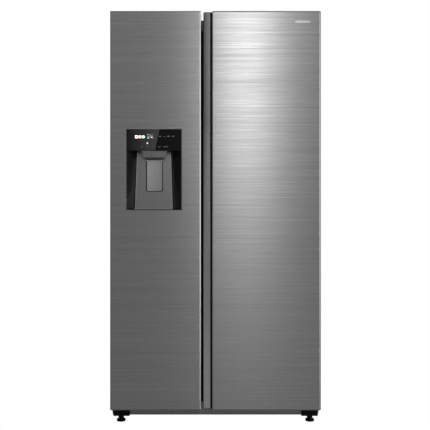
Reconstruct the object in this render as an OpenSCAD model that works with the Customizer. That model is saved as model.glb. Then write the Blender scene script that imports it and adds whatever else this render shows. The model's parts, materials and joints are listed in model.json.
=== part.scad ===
// Side by side refrigerator with an ice and water dispenser in the freezer door.
// Millimetres. Origin on the floor under the middle, front faces -Y, +X to the viewer's right.

/* [Overall] */
// Width across both doors
overall_w = 895; // [890:1:905]
// Height to the top of the doors
overall_h = 1765; // [1760:1:1780]
// Depth from the proud front trim to the rear bumpers
overall_d = 745; // [740:1:755]
// Width of the freezer door
freezer_door_w = 386; // [382:1:390]
// Gap between the two doors
door_gap = 11; // [10:0.5:12]

/* [Doors] */
// Thickness of a door from its face to its inner plane
door_t = 69; // [68:0.5:70]
// Gap filled by the door gasket
seal_gap = 11; // [10.5:0.1:11.5]
// Radius of a door's outer vertical edge
door_edge_r = 8; // [6:0.5:10]
// Radius of the freezer door's free edge
freezer_edge_r = 7; // [5:0.5:8]
// Radius of the fridge door skin's free edge
fridge_edge_r = 3.5; // [2:0.5:4]
// How far the grip strip is set back from the door face
grip_setback = 20; // [18:1:22]
// Width of the grip strip
grip_w = 29.5; // [28:0.5:30]
// Width of the dark slot beside the grip strip
slot_w = 7.5; // [6:0.5:9]

/* [Dispenser] */
// Left edge of the dispenser frame
disp_x0 = -382; // [-384:1:-380]
// Right edge of the dispenser frame
disp_x1 = -140; // [-142:1:-138]
// Bottom of the dispenser frame
disp_z0 = 917.5; // [916:0.5:919]
// Height of the alcove's top edge, where the control panel starts
disp_zp = 1174.5; // [1173.5:0.5:1175.5]
// Top of the dispenser frame
disp_z1 = 1268; // [1266:1:1270]

/* [Cabinet] */
// Insulated side wall thickness
wall = 50; // [48:1:52]
// Thickness of the partition between the compartments
partition = 60; // [58:1:62]
// Interior floor height
floor_z = 100; // [99:1:101]
// Interior ceiling height
ceiling_z = 1688; // [1684:1:1690]
// Steel sheet thickness
sheet = 1.2; // [1:0.1:1.4]

/* [Hidden] */

$fn = 48;
e = 0.5;            // overshoot of a cut past the face that it opens
fit = 0.2;          // clearance between fixed pieces that nest
run = 0.05;         // radial running clearance of a shaft in its bore

// Depth planes
proud = 1;
front_y = -overall_d / 2;
face_y = front_y + proud;
back_y = face_y + door_t;
cab_y0 = back_y + seal_gap;
bumper_t = 15;
cab_y1 = overall_d / 2 - bumper_t;
grip_y = face_y + grip_setback;

// Width planes
half_w = overall_w / 2;
cab_half = half_w - 1.5;
fz_x0 = -half_w;
fz_x1 = fz_x0 + freezer_door_w;
fr_x0 = fz_x1 + door_gap;
fr_x1 = half_w;
part_x = fz_x1 + door_gap / 2;
fr_skin_x = fr_x0 + grip_w + slot_w;
in_half = half_w - wall;
fzi = [-in_half, part_x - partition / 2];
fri = [part_x + partition / 2, in_half];

// Height planes
cab_z0 = 36;
cab_z1 = overall_h - 22;
door_z0 = 72;
door_z1 = overall_h;
cap_t = 4;
cap_core = 46;

// Machine compartment and the step that it makes in the interiors
mach_y = 160;
mach_z = 250;
step_y = mach_y - 48;
step_z = mach_z + 50;
in_y1 = cab_y1 - 60.5;
liner_t = 1.5;

// Door hinges
hinge_x = half_w - 22;
hinge_y = back_y - 25;
pin_r = 6;
ridge_w = 25;
ridge_t = 35;
ridge_in = 8;

// Radius of the small pivots: dispenser paddle and dairy flap
pivot_r = 2.5;

// Shelves: front edge and heights
shelf_y0 = -150;
freezer_shelf_z = [620, 840, 1060, 1235];
fridge_shelf_z = [500, 720, 950, 1180, 1410];
shelf_t = 6;
rib = [6, 8];

// Drawers: rail heights, lower then upper, and the plane of the closed fronts
fz_rail = [276, 520];
fr_rail = [276, 470];
drawer_y0 = -125;

// Ice path
chute_x = [-301, -219];
chute_z = [1283, 1343];
auger_x = (chute_x[0] + chute_x[1]) / 2;
auger_z = (chute_z[0] + chute_z[1]) / 2;

// Rotating parts
evap_fan = [(fzi[0] + fzi[1]) / 2, 252, 960];
cond_fan = [70, 258, 140];
roller_r = 20;
roller = [395, 300];
foot = [412, -262];

// Box between two corners
module span(x, y, z) {
    translate([x[0], y[0], z[0]]) cube([x[1] - x[0], y[1] - y[0], z[1] - z[0]]);
}

// Rectangle between two corners
module span2(x, y) {
    translate([x[0], y[0]]) square([x[1] - x[0], y[1] - y[0]]);
}

// Round bar along X, Y or Z
module bar_x(r, x, y, z) {
    translate([x[0], y, z]) rotate([0, 90, 0]) cylinder(r = r, h = x[1] - x[0]);
}
module bar_y(r, x, y, z) {
    translate([x, y[0], z]) rotate([-90, 0, 0]) cylinder(r = r, h = y[1] - y[0]);
}
module bar_z(r, x, y, z) {
    translate([x, y, z[0]]) cylinder(r = r, h = z[1] - z[0]);
}

// The same shape at both sides of the object
module both_sides() {
    children();
    mirror([1, 0, 0]) children();
}

// Open box with walls of thickness t
module tray(x, y, z, t) {
    difference() {
        span(x, y, z);
        span([x[0] + t, x[1] - t], [y[0] + t, y[1] - t], [z[0] + t, z[1] + e]);
    }
}

// ---- Cabinet ----

// Interior space of a compartment, grown by g on every side but the front
module interior(xr, g) {
    span([xr[0] - g, xr[1] + g], [cab_y0 - e, step_y + g], [floor_z - g, step_z + e]);
    span([xr[0] - g, xr[1] + g], [cab_y0 - e, in_y1 + g], [step_z - g, ceiling_z + g]);
}

// Steel wrapper: sides and top with a folded front flange
flange_w = 40;
flange_top = cab_z1 - ceiling_z - 9;
module cabinet_shell() {
    color("#6f7072") {
        difference() {
            span([-cab_half, cab_half], [cab_y0, cab_y1], [cab_z0, cab_z1]);
            span([-cab_half + sheet, cab_half - sheet], [cab_y0 + sheet, cab_y1 + e],
                [cab_z0 - e, cab_z1 - sheet]);
            span([-cab_half + flange_w, cab_half - flange_w], [cab_y0 - e, cab_y0 + sheet + e],
                [cab_z0 - e, cab_z1 - flange_top]);
        }
    }
}

// Control board recess in the rear wall
board_x = [-120, 120];
board_z = [1420, 1600];
board_d = 38;

// Back panel with a screwed cover over the control board recess, and two upper spacers
module cabinet_back() {
    color("#8d8f91") {
        difference() {
            span([-cab_half + sheet + fit, cab_half - sheet - fit], [cab_y1 - sheet, cab_y1],
                [mach_z + 3, cab_z1 - sheet - fit]);
            span([board_x[0] + 8, board_x[1] - 8], [cab_y1 - sheet - e, cab_y1 + e],
                [board_z[0] + 8, board_z[1] - 8]);
        }
        span(board_x, [cab_y1, cab_y1 + sheet], board_z);
        for (x = [-330, 330]) {
            bar_y(12, x, [cab_y1, cab_y1 + bumper_t], 1650);
        }
        for (x = [-300, -150, 150, 300]) {
            span([x - 6, x + 6], [cab_y1, cab_y1 + 2], [380, 1340]);
        }
    }
}

// Foamed insulation between the wrapper and the two liners
module cabinet_foam() {
    color("#e8dfc0") {
        difference() {
            span([-cab_half + sheet + fit, cab_half - sheet - fit],
                [cab_y0 + liner_t + fit, cab_y1 - sheet - fit],
                [cab_z0 + 2 + fit, cab_z1 - sheet - fit]);
            interior(fzi, liner_t + fit);
            interior(fri, liner_t + fit);
            span([-half_w, half_w], [mach_y - 1.5, cab_y1 + e], [0, mach_z + 1.5]);
            span([board_x[0] + 2, board_x[1] - 2], [cab_y1 - board_d, cab_y1 + e],
                [board_z[0] + 2, board_z[1] - 2]);
            both_sides() {
                bar_z(13, foot[0], foot[1], [0, 62]);
            }
        }
    }
}

// Vacuum formed compartment with a front flange and moulded side ribs
module liner(xr, ribs, y_rib) {
    outer_x0 = xr[0] < -in_half + 1 ? -cab_half + flange_w + fit : part_x + 27.7;
    outer_x1 = xr[1] > in_half - 1 ? cab_half - flange_w - fit : part_x - 27.7;
    difference() {
        union() {
            interior(xr, liner_t);
            span([outer_x0, outer_x1], [cab_y0, cab_y0 + liner_t],
                [floor_z - 8.8, ceiling_z + 8.8]);
        }
        interior(xr, 0);
        span([-half_w, half_w], [cab_y0 - 5, cab_y0], [0, overall_h]);
    }
    for (z = ribs) {
        for (x = [xr[0], xr[1] - rib[0]]) {
            span([x, x + rib[0]], [shelf_y0 + 4, y_rib], [z - rib[1], z]);
        }
    }
}

// Rails that carry the drawers of a compartment: the lower one is shorter
module drawer_rails(xr, z, y1) {
    for (i = [0, 1], x = [xr[0], xr[1] - rib[0]]) {
        span([x, x + rib[0]], [drawer_y0 + 12, i == 0 ? step_y - 4 : y1], [z[i] - rib[1], z[i]]);
    }
}

module freezer_liner() {
    color("#e9ecee") {
        liner(fzi, [for (z = freezer_shelf_z) z - shelf_t / 2 - fit], 220);
        drawer_rails(fzi, fz_rail, 220);
    }
}

module fridge_liner() {
    color("#f0f2f3") {
        liner(fri, [for (z = fridge_shelf_z) z - shelf_t / 2 - fit], 240);
        drawer_rails(fri, fr_rail, 240);
    }
}

// Steel strip over the front of the partition
module mullion_trim() {
    color("#7b7d80") {
        span([part_x - 27.5, part_x + 27.5], [cab_y0, cab_y0 + sheet],
            [floor_z - 9, ceiling_z + 9]);
    }
}

// Base: floor sheet, front rail, machine compartment wall and deck, roller forks
module base_frame() {
    rail_x = cab_half - flange_w - fit;
    in_x = cab_half - sheet - fit;
    color("#5d6063") {
        difference() {
            union() {
                span([-in_x, in_x], [cab_y0 + 2, cab_y1 - 4], [cab_z0, cab_z0 + 2]);
                span([-rail_x, rail_x], [cab_y0, cab_y0 + 1.2], [cab_z0, floor_z - 9.2]);
                span([-rail_x, rail_x], [cab_y0, cab_y0 + 6], [cab_z0, cab_z0 + 2]);
                span([-in_x, in_x], [mach_y - 1.2, mach_y], [cab_z0 + 1, mach_z + 1.2]);
                span([-in_x, in_x], [mach_y - 1, cab_y1 - 4], [mach_z, mach_z + 1.2]);
            }
            both_sides() {
                bar_z(13, foot[0], foot[1], [0, 62]);
                span([roller[0] - 16, roller[0] + 16], [roller[1] - 26, roller[1] + 26], [0, 60]);
            }
        }
        both_sides() {
            for (s = [-1, 1]) {
                difference() {
                    x = roller[0] + s * 18.5;
                    union() {
                        span([x - 2, x + 2], [roller[1] - 24, roller[1] + 24], [28, 62]);
                        bar_x(11, [x - 2, x + 2], roller[1], roller_r);
                        span([x - 2, x + 2], [roller[1] - 11, roller[1] + 11], [roller_r, 30]);
                    }
                    bar_x(4 + run, [x - 3, x + 3], roller[1], roller_r);
                }
            }
            span([roller[0] - 20.5, roller[0] + 20.5], [roller[1] - 24, roller[1] + 24], [60, 62]);
        }
    }
}

// Base strip between the lower hinges, folded under at its lower edge
module kick_plate() {
    color("#63656a") {
        span([-370, 370], [cab_y0 - 2.2, cab_y0 - fit], [cab_z0, door_z0 - 3]);
        span([-370, 370], [cab_y0 - 8, cab_y0 - fit], [cab_z0, cab_z0 + 2]);
    }
}

// Lower hinge brackets: foot plate, front block, arm and door pin
module bottom_hinges() {
    bx = [cab_half - 74, cab_half - 4];
    color("#1c1d1f") both_sides() {
        difference() {
            union() {
                span(bx, [cab_y0 - 11.5, foot[1] + 27], [cab_z0 - 5, cab_z0]);
                span(bx, [cab_y0 - 11.5, cab_y0], [cab_z0 - 5, door_z0 - 4]);
                span([hinge_x - 18, bx[1]], [hinge_y - 14, cab_y0 - 11], [door_z0 - 10, door_z0 - 4]);
                bar_z(11, foot[0], foot[1], [cab_z0 - 5, 60]);
            }
            bar_z(6 + run, foot[0], foot[1], [cab_z0 - 6, 61]);
        }
        bar_z(10, hinge_x, hinge_y, [door_z0 - 4, door_z0 - 0.6]);
        bar_z(pin_r, hinge_x, hinge_y, [door_z0 - 4, door_z0 + 22]);
    }
}

// Upper hinge plates screwed to the cabinet top, each with a pin that points down
module top_hinges() {
    plate_z = [cab_z1, cab_z1 + 5];
    color("#9a9c9e") both_sides() {
        difference() {
            union() {
                span([hinge_x - 45, hinge_x + 14], [cab_y0 + 12, cab_y0 + 90], plate_z);
                span([hinge_x - 12, hinge_x + 12], [hinge_y, cab_y0 + 14], plate_z);
                bar_z(12, hinge_x, hinge_y, plate_z);
            }
            for (x = [-34, -6], y = [30, 72]) {
                bar_z(3, hinge_x + x, cab_y0 + y, [cab_z1 - e, cab_z1 + 6]);
            }
        }
        for (x = [-34, -6], y = [30, 72]) {
            bar_z(5, hinge_x + x, cab_y0 + y, [cab_z1 + 5, cab_z1 + 8]);
        }
        bar_z(pin_r, hinge_x, hinge_y, [cab_z1 - 24, cab_z1 + 1]);
    }
}

// Plastic covers over the upper hinges
module hinge_covers() {
    cx = [hinge_x - 55, cab_half - 1];
    cy = [cab_y0 + 2, cab_y0 + 102];
    color("#4c4e51") both_sides() {
        difference() {
            span(cx, cy, [cab_z1, overall_h - 2]);
            span([cx[0] + 2, cx[1] - 2], [cy[0] + 2, cy[1] - 2], [cab_z1 - e, overall_h - 4]);
            span([hinge_x - 15, hinge_x + 15], [cy[0] - e, cy[0] + 3], [cab_z1 - e, cab_z1 + 6]);
        }
    }
}

// ---- Machine compartment ----

valve = [-330, 200];
gland = [250, 90];
cover_y = [cab_y1 - 3.5, cab_y1 - 2];

// Vented rear cover with the two lower spacers
module rear_cover() {
    color("#a3a5a7") {
        difference() {
            span([-cab_half + 3, cab_half - 3], cover_y, [cab_z0 + 4, mach_z + 1]);
            for (i = [0 : 11], row = [0, 1]) {
                span([-150 + i * 26, -140 + i * 26], [cover_y[0] - e, cover_y[1] + e],
                    [95 + row * 62, 145 + row * 62]);
            }
            bar_y(15, valve[0], [cover_y[0] - e, cover_y[1] + e], valve[1]);
            bar_y(10, gland[0], [cover_y[0] - e, cover_y[1] + e], gland[1]);
        }
        for (x = [-400, 400]) {
            bar_y(12, x, [cover_y[1], overall_d / 2], 120);
        }
    }
}

// Water inlet valve: body, two coils and a threaded hose spigot through the rear cover
module water_valve() {
    color("#d8d9da") {
        span([valve[0] - 26, valve[0] + 26], [cover_y[0] - 4, cover_y[0]], [valve[1] - 24, valve[1] + 24]);
        bar_y(13.2, valve[0], [cover_y[0] - 4, overall_d / 2 - 1], valve[1]);
        span([valve[0] - 20, valve[0] + 20], [cover_y[0] - 34, cover_y[0] - 4],
            [valve[1] - 14, valve[1] + 14]);
        for (x = [-11, 11]) {
            bar_z(10, valve[0] + x, cover_y[0] - 19, [valve[1] - 48, valve[1] - 13]);
        }
    }
}

// Bush that the mains lead passes through
module cord_gland() {
    color("#202124") difference() {
        union() {
            bar_y(14, gland[0], [cover_y[1], cover_y[1] + 4], gland[1]);
            bar_y(9.8, gland[0], [cover_y[0] - 6, cover_y[1] + 2], gland[1]);
        }
        bar_y(4.5, gland[0], [cover_y[0] - 7, cover_y[1] + 5], gland[1]);
    }
}

// Sealed compressor: shell with a weld band, feet on rubber bushes, pipe stubs, terminal box
module compressor() {
    floor_top = cab_z0 + 2;
    translate([-230, 258, floor_top]) color("#1b1c1e") {
        rotate_extrude() {
            span2([0, 50], [28, 168]);
            span2([0, 78], [56, 140]);
            translate([50, 56]) circle(r = 28);
            translate([50, 140]) circle(r = 28);
        }
        bar_z(81, 0, 0, [94, 100]);
        span([-96, 96], [-46, 46], [24, 29]);
        for (x = [-84, 84], y = [-34, 34]) {
            bar_z(11, x, y, [0, 32]);
        }
        span([70, 100], [-24, 24], [66, 126]);
        bar_z(4, -40, 50, [150, 186]);
        bar_z(4, -62, 20, [140, 186]);
    }
}

// Wire condenser coil: layers of straight tubes joined by half-round bends, in two end plates
cond_x = [140, 190, 240, 290];
cond_pitch = 26;
module condenser() {
    tube_r = 3;
    rows = 7;
    z0 = 62;
    y = [196, 322];
    color("#2b2c2e") {
        for (x = cond_x) {
            for (k = [0 : rows - 1]) {
                bar_y(tube_r, x, y, z0 + k * cond_pitch);
            }
            for (k = [0 : rows - 2]) {
                at_end = k % 2;
                translate([x, at_end == 0 ? y[1] : y[0], z0 + (k + 0.5) * cond_pitch])
                    rotate([0, 90, 0])
                    rotate([0, 0, at_end == 0 ? 0 : 180])
                    rotate_extrude(angle = 180) translate([cond_pitch / 2, 0]) circle(r = tube_r);
            }
        }
        for (yy = [216, 300]) {
            span([cond_x[0] - 12, cond_x[3] + 12], [yy, yy + 1.5], [cab_z0 + 2, z0 + 6.7 * cond_pitch]);
        }
    }
}

// Tray that catches the defrost water
module drain_pan() {
    color("#d5d6d8") tray([-104, 16], [178, 338], [cab_z0 + 2, 84], 3);
}

// Fixed motors: condenser fan motor with its shroud, evaporator fan motor, ice auger motor
auger_motor_y = [203, 230];
module motors() {
    fx = cond_fan[0];
    fy = cond_fan[1];
    fz = cond_fan[2];
    ey = evap_fan[1];
    color("#3b3d40") {
        difference() {
            union() {
                span([fx + 4, fx + 7], [fy - 82, fy + 82], [cab_z0 + 2, fz + 92]);
                bar_x(84, [fx - 10, fx + 7], fy, fz);
            }
            bar_x(79, [fx - 11, fx + 8], fy, fz);
        }
        for (z = [fz - 14, fz + 14]) {
            span([fx + 24, fx + 27], [fy - 82, fy + 82], [z - 4, z + 4]);
            for (y = [fy - 82, fy + 79]) {
                span([fx + 6, fx + 27], [y, y + 3], [z - 4, z + 4]);
            }
        }
        difference() {
            bar_x(24, [fx + 22, fx + 52], fy, fz);
            bar_x(3 + run, [fx + 21, fx + 46], fy, fz);
        }
        difference() {
            union() {
                bar_y(20, evap_fan[0], [ey + 14, ey + 36], evap_fan[2]);
                span([evap_fan[0] - 90, evap_fan[0] + 90], [ey + 16, ey + 19],
                    [evap_fan[2] - 6, evap_fan[2] + 6]);
                for (x = [-90, 87]) {
                    span([evap_fan[0] + x, evap_fan[0] + x + 3], [236, ey + 19],
                        [evap_fan[2] - 6, evap_fan[2] + 6]);
                }
            }
            bar_y(3 + run, evap_fan[0], [ey + 13, ey + 31], evap_fan[2]);
        }
        difference() {
            span([auger_x - 38, auger_x + 38], auger_motor_y, [auger_z - 38, auger_z + 38]);
            bar_y(8 + run, auger_x, [auger_motor_y[0] - 1, auger_motor_y[0] + 21], auger_z);
        }
    }
}

// Fan wheel in its own plane: hub, shaft and pitched blades about +Z
module fan_wheel(hub_r, tip_r, blades, depth, shaft) {
    cylinder(r = hub_r, h = depth);
    translate([0, 0, depth - 1]) cylinder(r = 3, h = shaft + 1);
    for (i = [0 : blades - 1]) {
        rotate([0, 0, i * 360 / blades])
            translate([hub_r - 2, 0, depth / 2])
            rotate([32, 0, 0])
            translate([0, -tip_r * 0.26, -0.8])
            cube([tip_r - hub_r, tip_r * 0.52, 1.6]);
    }
}

module condenser_fan() {
    color("#25272a") translate([cond_fan[0] - 8, cond_fan[1], cond_fan[2]])
        rotate([0, 90, 0]) fan_wheel(18, 74, 5, 24, 28);
}

module evaporator_fan() {
    color("#e4e6e8") translate([evap_fan[0], evap_fan[1] - 8, evap_fan[2]])
        rotate([-90, 0, 0]) fan_wheel(15, 50, 5, 16, 20);
}

// Rear roller on its own axle, which turns in the base forks
module roller_wheel() {
    difference() {
        bar_x(roller_r, [roller[0] - 13, roller[0] + 13], roller[1], roller_r);
        for (s = [-1, 1]) {
            difference() {
                bar_x(14, [roller[0] + s * 11 - 3, roller[0] + s * 11 + 3], roller[1], roller_r);
                bar_x(8, [roller[0] - 14, roller[0] + 14], roller[1], roller_r);
            }
        }
    }
    bar_x(4, [roller[0] - 21.5, roller[0] + 21.5], roller[1], roller_r);
}

module roller_right() {
    color("#2a2b2d") roller_wheel();
}

module roller_left() {
    color("#2a2b2d") mirror([1, 0, 0]) roller_wheel();
}

// Levelling foot: pad, grip collar and threaded stem
module level_foot() {
    translate([foot[0], foot[1], 0]) {
        rotate_extrude() {
            span2([0, 17], [0, 11]);
            span2([0, 19.2], [2.2, 8.8]);
            translate([17, 2.2]) circle(r = 2.2);
            translate([17, 8.8]) circle(r = 2.2);
            span2([0, 12], [10, cab_z0 - 5.4]);
        }
        bar_z(6, 0, 0, [cab_z0 - 6, 55]);
    }
}

module foot_right() {
    color("#17181a") level_foot();
}

module foot_left() {
    color("#17181a") mirror([1, 0, 0]) level_foot();
}

// ---- Cold side and interior ----

// Fin and tube evaporator with the defrost heater under it
module evaporator() {
    ex = [fzi[0] + 10, fzi[1] - 10];
    tube_r = 4;
    rows = 8;
    pitch = 50;
    z0 = 420;
    color("#c9ccce") {
        for (y = [256, 280], k = [0 : rows - 1]) {
            bar_x(tube_r, [ex[0] + 30, ex[1] - 30], y, z0 + k * pitch);
        }
        for (y = [256, 280], k = [0 : rows - 2]) {
            right = k % 2 == 0;
            translate([right ? ex[1] - 30 : ex[0] + 30, y, z0 + (k + 0.5) * pitch])
                rotate([90, right ? 0 : 180, 0])
                rotate([0, 0, -90])
                rotate_extrude(angle = 180) translate([pitch / 2, 0]) circle(r = tube_r);
        }
        for (i = [0 : 11]) {
            x = ex[0] + 34 + i * (ex[1] - ex[0] - 69) / 11;
            span([x, x + 1], [246, 290], [z0 - 18, z0 + (rows - 0.6) * pitch]);
        }
        bar_x(5, ex, 268, z0 - 50);
    }
}

// Cover in front of the evaporator, with the fan outlet and the return slots
module evaporator_cover() {
    cover = [232, 236];
    fan_r = 52;
    color("#dfe3e6") {
        difference() {
            span([fzi[0] + 0.5, fzi[1] - 0.5], cover, [step_z + 1, ceiling_z - 1]);
            bar_y(fan_r, evap_fan[0], [cover[0] - e, cover[1] + e], evap_fan[2]);
            for (i = [-4 : 4]) {
                x = (fzi[0] + fzi[1]) / 2 + i * 28;
                span([x - 9, x + 9], [cover[0] - e, cover[1] + e], [step_z + 22, step_z + 34]);
            }
            for (z = [700, 1130, 1640], i = [-2 : 2]) {
                x = (fzi[0] + fzi[1]) / 2 + i * 36;
                span([x - 14, x + 14], [cover[0] - e, cover[1] + e], [z - 5, z + 5]);
            }
        }
        for (r = [16, 34]) {
            difference() {
                bar_y(r + 2, evap_fan[0], cover, evap_fan[2]);
                bar_y(r - 2, evap_fan[0], [cover[0] - e, cover[1] + e], evap_fan[2]);
            }
        }
        span([evap_fan[0] - fan_r - 1, evap_fan[0] + fan_r + 1], cover,
            [evap_fan[2] - 2, evap_fan[2] + 2]);
        span([evap_fan[0] - 2, evap_fan[0] + 2], cover,
            [evap_fan[2] - fan_r - 1, evap_fan[2] + fan_r + 1]);
    }
}

// Air duct on the rear wall of the fridge compartment, with outlets above each shelf
module fridge_air_duct() {
    x = [126, 246];
    y = [in_y1 - 22, in_y1 - 0.5];
    z = [540, 1662];
    color("#f4f6f7") {
        difference() {
            span(x, y, z);
            span([x[0] + 2.5, x[1] - 2.5], [y[0] + 2.5, y[1] - 2.5], [z[0] + 2.5, z[1] - 2.5]);
            for (s = fridge_shelf_z, i = [0 : 2]) {
                span([x[0] + 22, x[1] - 22], [y[0] - e, y[0] + 3],
                    [s + 150 + i * 14, s + 156 + i * 14]);
            }
        }
    }
}

// Glass plate with a moulded front strip
strip_up = 7;
module shelf(xr, y, z) {
    span([xr[0] + 1, xr[1] - 1], y, [z - shelf_t / 2, z + shelf_t / 2]);
    span([xr[0] + 1, xr[1] - 1], [y[0] - 8, y[0] + 1], [z - 9, z + strip_up]);
}

module freezer_shelves() {
    color("#bcd6de") for (z = freezer_shelf_z) {
        shelf(fzi, [shelf_y0, 222], z);
    }
}

module fridge_shelves() {
    color("#c4dde4") for (z = fridge_shelf_z) {
        shelf(fri, [shelf_y0, 262], z);
    }
}

// Light lenses under both ceilings
module interior_lights() {
    color("#fbfbf4") {
        span([fzi[0] + 90, fzi[1] - 90], [-230, -180], [ceiling_z - 9, ceiling_z]);
        span([fri[0] + 110, fri[1] - 110], [-230, -170], [ceiling_z - 9, ceiling_z]);
    }
}

// Water filter cartridge in its head at the fridge ceiling
module water_filter() {
    x = fri[1] - 46;
    z = ceiling_z - 38;
    color("#ffffff") {
        bar_y(30, x, [-120, 60], z);
        bar_y(24, x, [-138, -119], z);
        span([x - 4, x + 4], [-150, -137], [z - 20, z + 20]);
        span([x - 34, x + 34], [60, 150], [z - 32, ceiling_z]);
    }
}

// Ice maker: mould with crescent pockets, control end and fill cup
module ice_maker() {
    x = [fzi[0] + 20, fzi[1] - 20];
    color("#cdd1d4") {
        difference() {
            span([x[0] + 46, x[1]], [60, 190], [1450, 1500]);
            for (i = [0 : 6]) {
                px = x[0] + 54 + i * 30;
                bar_x(44, [px, px + 25], 125, 1508);
            }
        }
        span([x[0], x[0] + 45.5], [50, 200], [1440, 1540]);
        span([x[0] + 46, x[1]], [178, 200], [1500, 1540]);
        bar_y(2.5, x[1] - 12, [0, 62], 1462);
        bar_x(2.5, [x[0] + 30, x[1] - 12], 0, 1462);
    }
}

// Ice bucket on two runners that clear the shelf's front strip, with an outlet in its front
// wall and a hole for the auger shaft
module ice_bucket() {
    bucket_x = [fzi[0] + 8, fzi[1] - 8];
    bucket_y = [-255, 200];
    bucket_z0 = freezer_shelf_z[3] + strip_up + fit;
    runner_w = 8;
    color("#e6eef2") {
        difference() {
            tray(bucket_x, bucket_y, [bucket_z0, 1412], 3);
            bar_y(38, auger_x, [bucket_y[0] - e, bucket_y[0] + 4], auger_z);
            bar_y(11, auger_x, [bucket_y[1] - 4, bucket_y[1] + e], auger_z);
        }
        for (x = [bucket_x[0] + 12, bucket_x[1] - 12 - runner_w]) {
            span([x, x + runner_w], [shelf_y0 + 4, bucket_y[1] - 4],
                [freezer_shelf_z[3] + shelf_t / 2, bucket_z0 + 1]);
        }
    }
}

// Screw that drives ice to the outlet
module ice_auger() {
    auger_y = [-246, 192];
    color("#f2f4f5") {
        translate([auger_x, auger_y[0], auger_z]) rotate([-90, 0, 0])
            linear_extrude(height = auger_y[1] - auger_y[0], twist = -1260, slices = 84, segments = 4)
            square([64, 6], center = true);
        bar_y(8, auger_x, [auger_y[0] - 3, auger_motor_y[0] + 18], auger_z);
    }
}

// Drawer: open box, thicker front with a grip lip, and side flanges that ride on the rails
module drawer(xr, y, z, rail_z) {
    box_x = [xr[0] + rib[0] + 4, xr[1] - rib[0] - 4];
    tray(box_x, [y[0] + 8, y[1]], z, 3);
    span([xr[0] + 4, xr[1] - 4], [y[0], y[0] + 9], [z[0], z[1] + 3]);
    span([xr[0] + 40, xr[1] - 40], [y[0] - 12, y[0] + 1], [z[1] - 10, z[1] - 6]);
    for (x = [xr[0] + 1.5, box_x[1] - 1]) {
        span([x, x + rib[0] + 3.5], [y[0] + 14, y[1]], [rail_z + 0.3, rail_z + 3.3]);
    }
}

low_y1 = step_y - 8;
module freezer_drawer_lower() {
    color("#dbe9ee") drawer(fzi, [drawer_y0, low_y1], [floor_z + 5, 290], fz_rail[0]);
}

module freezer_drawer_upper() {
    color("#dbe9ee") drawer(fzi, [drawer_y0, 222], [306, 545], fz_rail[1]);
}

module crisper_lower() {
    color("#d6e6ea") drawer(fri, [drawer_y0, low_y1], [floor_z + 5, 290], fr_rail[0]);
}

module crisper_upper() {
    color("#d6e6ea") drawer(fri, [drawer_y0, 240], [306, 484], fr_rail[1]);
}

// ---- Doors ----

// Plan of a door, with its front corners rounded by r[0] on the left and r[1] on the right
module plan(x, y, r) {
    xm = (x[0] + x[1]) / 2;
    span2([x[0] + r[0], x[1] - r[1]], y);
    span2([x[0], xm], [y[0] + r[0], y[1]]);
    span2([xm, x[1]], [y[0] + r[1], y[1]]);
    if (r[0] > 0) {
        translate([x[0] + r[0], y[0] + r[0]]) circle(r = r[0]);
    }
    if (r[1] > 0) {
        translate([x[1] - r[1], y[0] + r[1]]) circle(r = r[1]);
    }
}

module raise(z) {
    translate([0, 0, z[0]]) linear_extrude(height = z[1] - z[0]) children();
}

// Recess in a door's upper rear corner that the hinge arm sweeps, and the two pin bores
module hinge_cut() {
    span([hinge_x - 16, half_w + e], [hinge_y - 36, back_y + e], [cab_z1 - 1, door_z1 + e]);
    bar_z(pin_r + run, hinge_x, hinge_y, [cab_z1 - 26, cab_z1]);
    bar_z(pin_r + run, hinge_x, hinge_y, [door_z0 - e, door_z0 + 24]);
}

core_y = [face_y + sheet + fit, back_y - liner_t - fit];
core_r = door_edge_r - sheet - fit;
skin_z = [door_z0 + cap_t, door_z1 - cap_t];
foam_z = [door_z0 + cap_core + fit, door_z1 - cap_core - fit];
fz_trim_w = 20.5;
pull_back = 16;
trim_t = 2.5;
lip_y1 = face_y + 13.5;

module freezer_core_2d() {
    plan([fz_x0 + sheet + fit, fz_x1 - fz_trim_w - fit], core_y, [core_r, 0]);
    span2([fz_x1 - fz_trim_w - 1, fz_x1 - trim_t - fit], [face_y + 48.5 + fit, core_y[1]]);
}

module fridge_core_2d() {
    plan([fr_skin_x + pull_back + fit, fr_x1 - sheet - fit], core_y, [0, core_r]);
    span2([fr_x0 + trim_t + fit, fr_skin_x + pull_back + 1], [grip_y + 14.5 + fit, core_y[1]]);
    span2([fr_x0 + trim_t + fit, fr_x0 + grip_w - trim_t - fit], [grip_y + trim_t + fit, grip_y + 15]);
}

module freezer_door_skin() {
    color("#9b9c9e") difference() {
        raise(skin_z) difference() {
            plan([fz_x0, fz_x1], [face_y, back_y - liner_t], [door_edge_r, freezer_edge_r]);
            plan([fz_x0 + sheet, fz_x1 - sheet], [face_y + sheet, back_y + e],
                [door_edge_r - sheet, freezer_edge_r - sheet]);
            span2([fz_x1 - 5, fz_x1 + e], [lip_y1, back_y]);
        }
        span([disp_x0 + 1, disp_x1 - 1], [face_y - e, face_y + sheet + e], [disp_z0 + 1, disp_z1 - 1]);
        mirror([1, 0, 0]) hinge_cut();
    }
}

module fridge_door_skin() {
    color("#b4b5b7") difference() {
        raise(skin_z) difference() {
            plan([fr_skin_x, fr_x1], [face_y, back_y - liner_t], [fridge_edge_r, door_edge_r]);
            plan([fr_skin_x + sheet, fr_x1 - sheet], [face_y + sheet, back_y + e],
                [fridge_edge_r - sheet, door_edge_r - sheet]);
            span2([fr_skin_x - e, fr_skin_x + 5], [face_y + 6.5, back_y]);
        }
        hinge_cut();
    }
}

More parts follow.
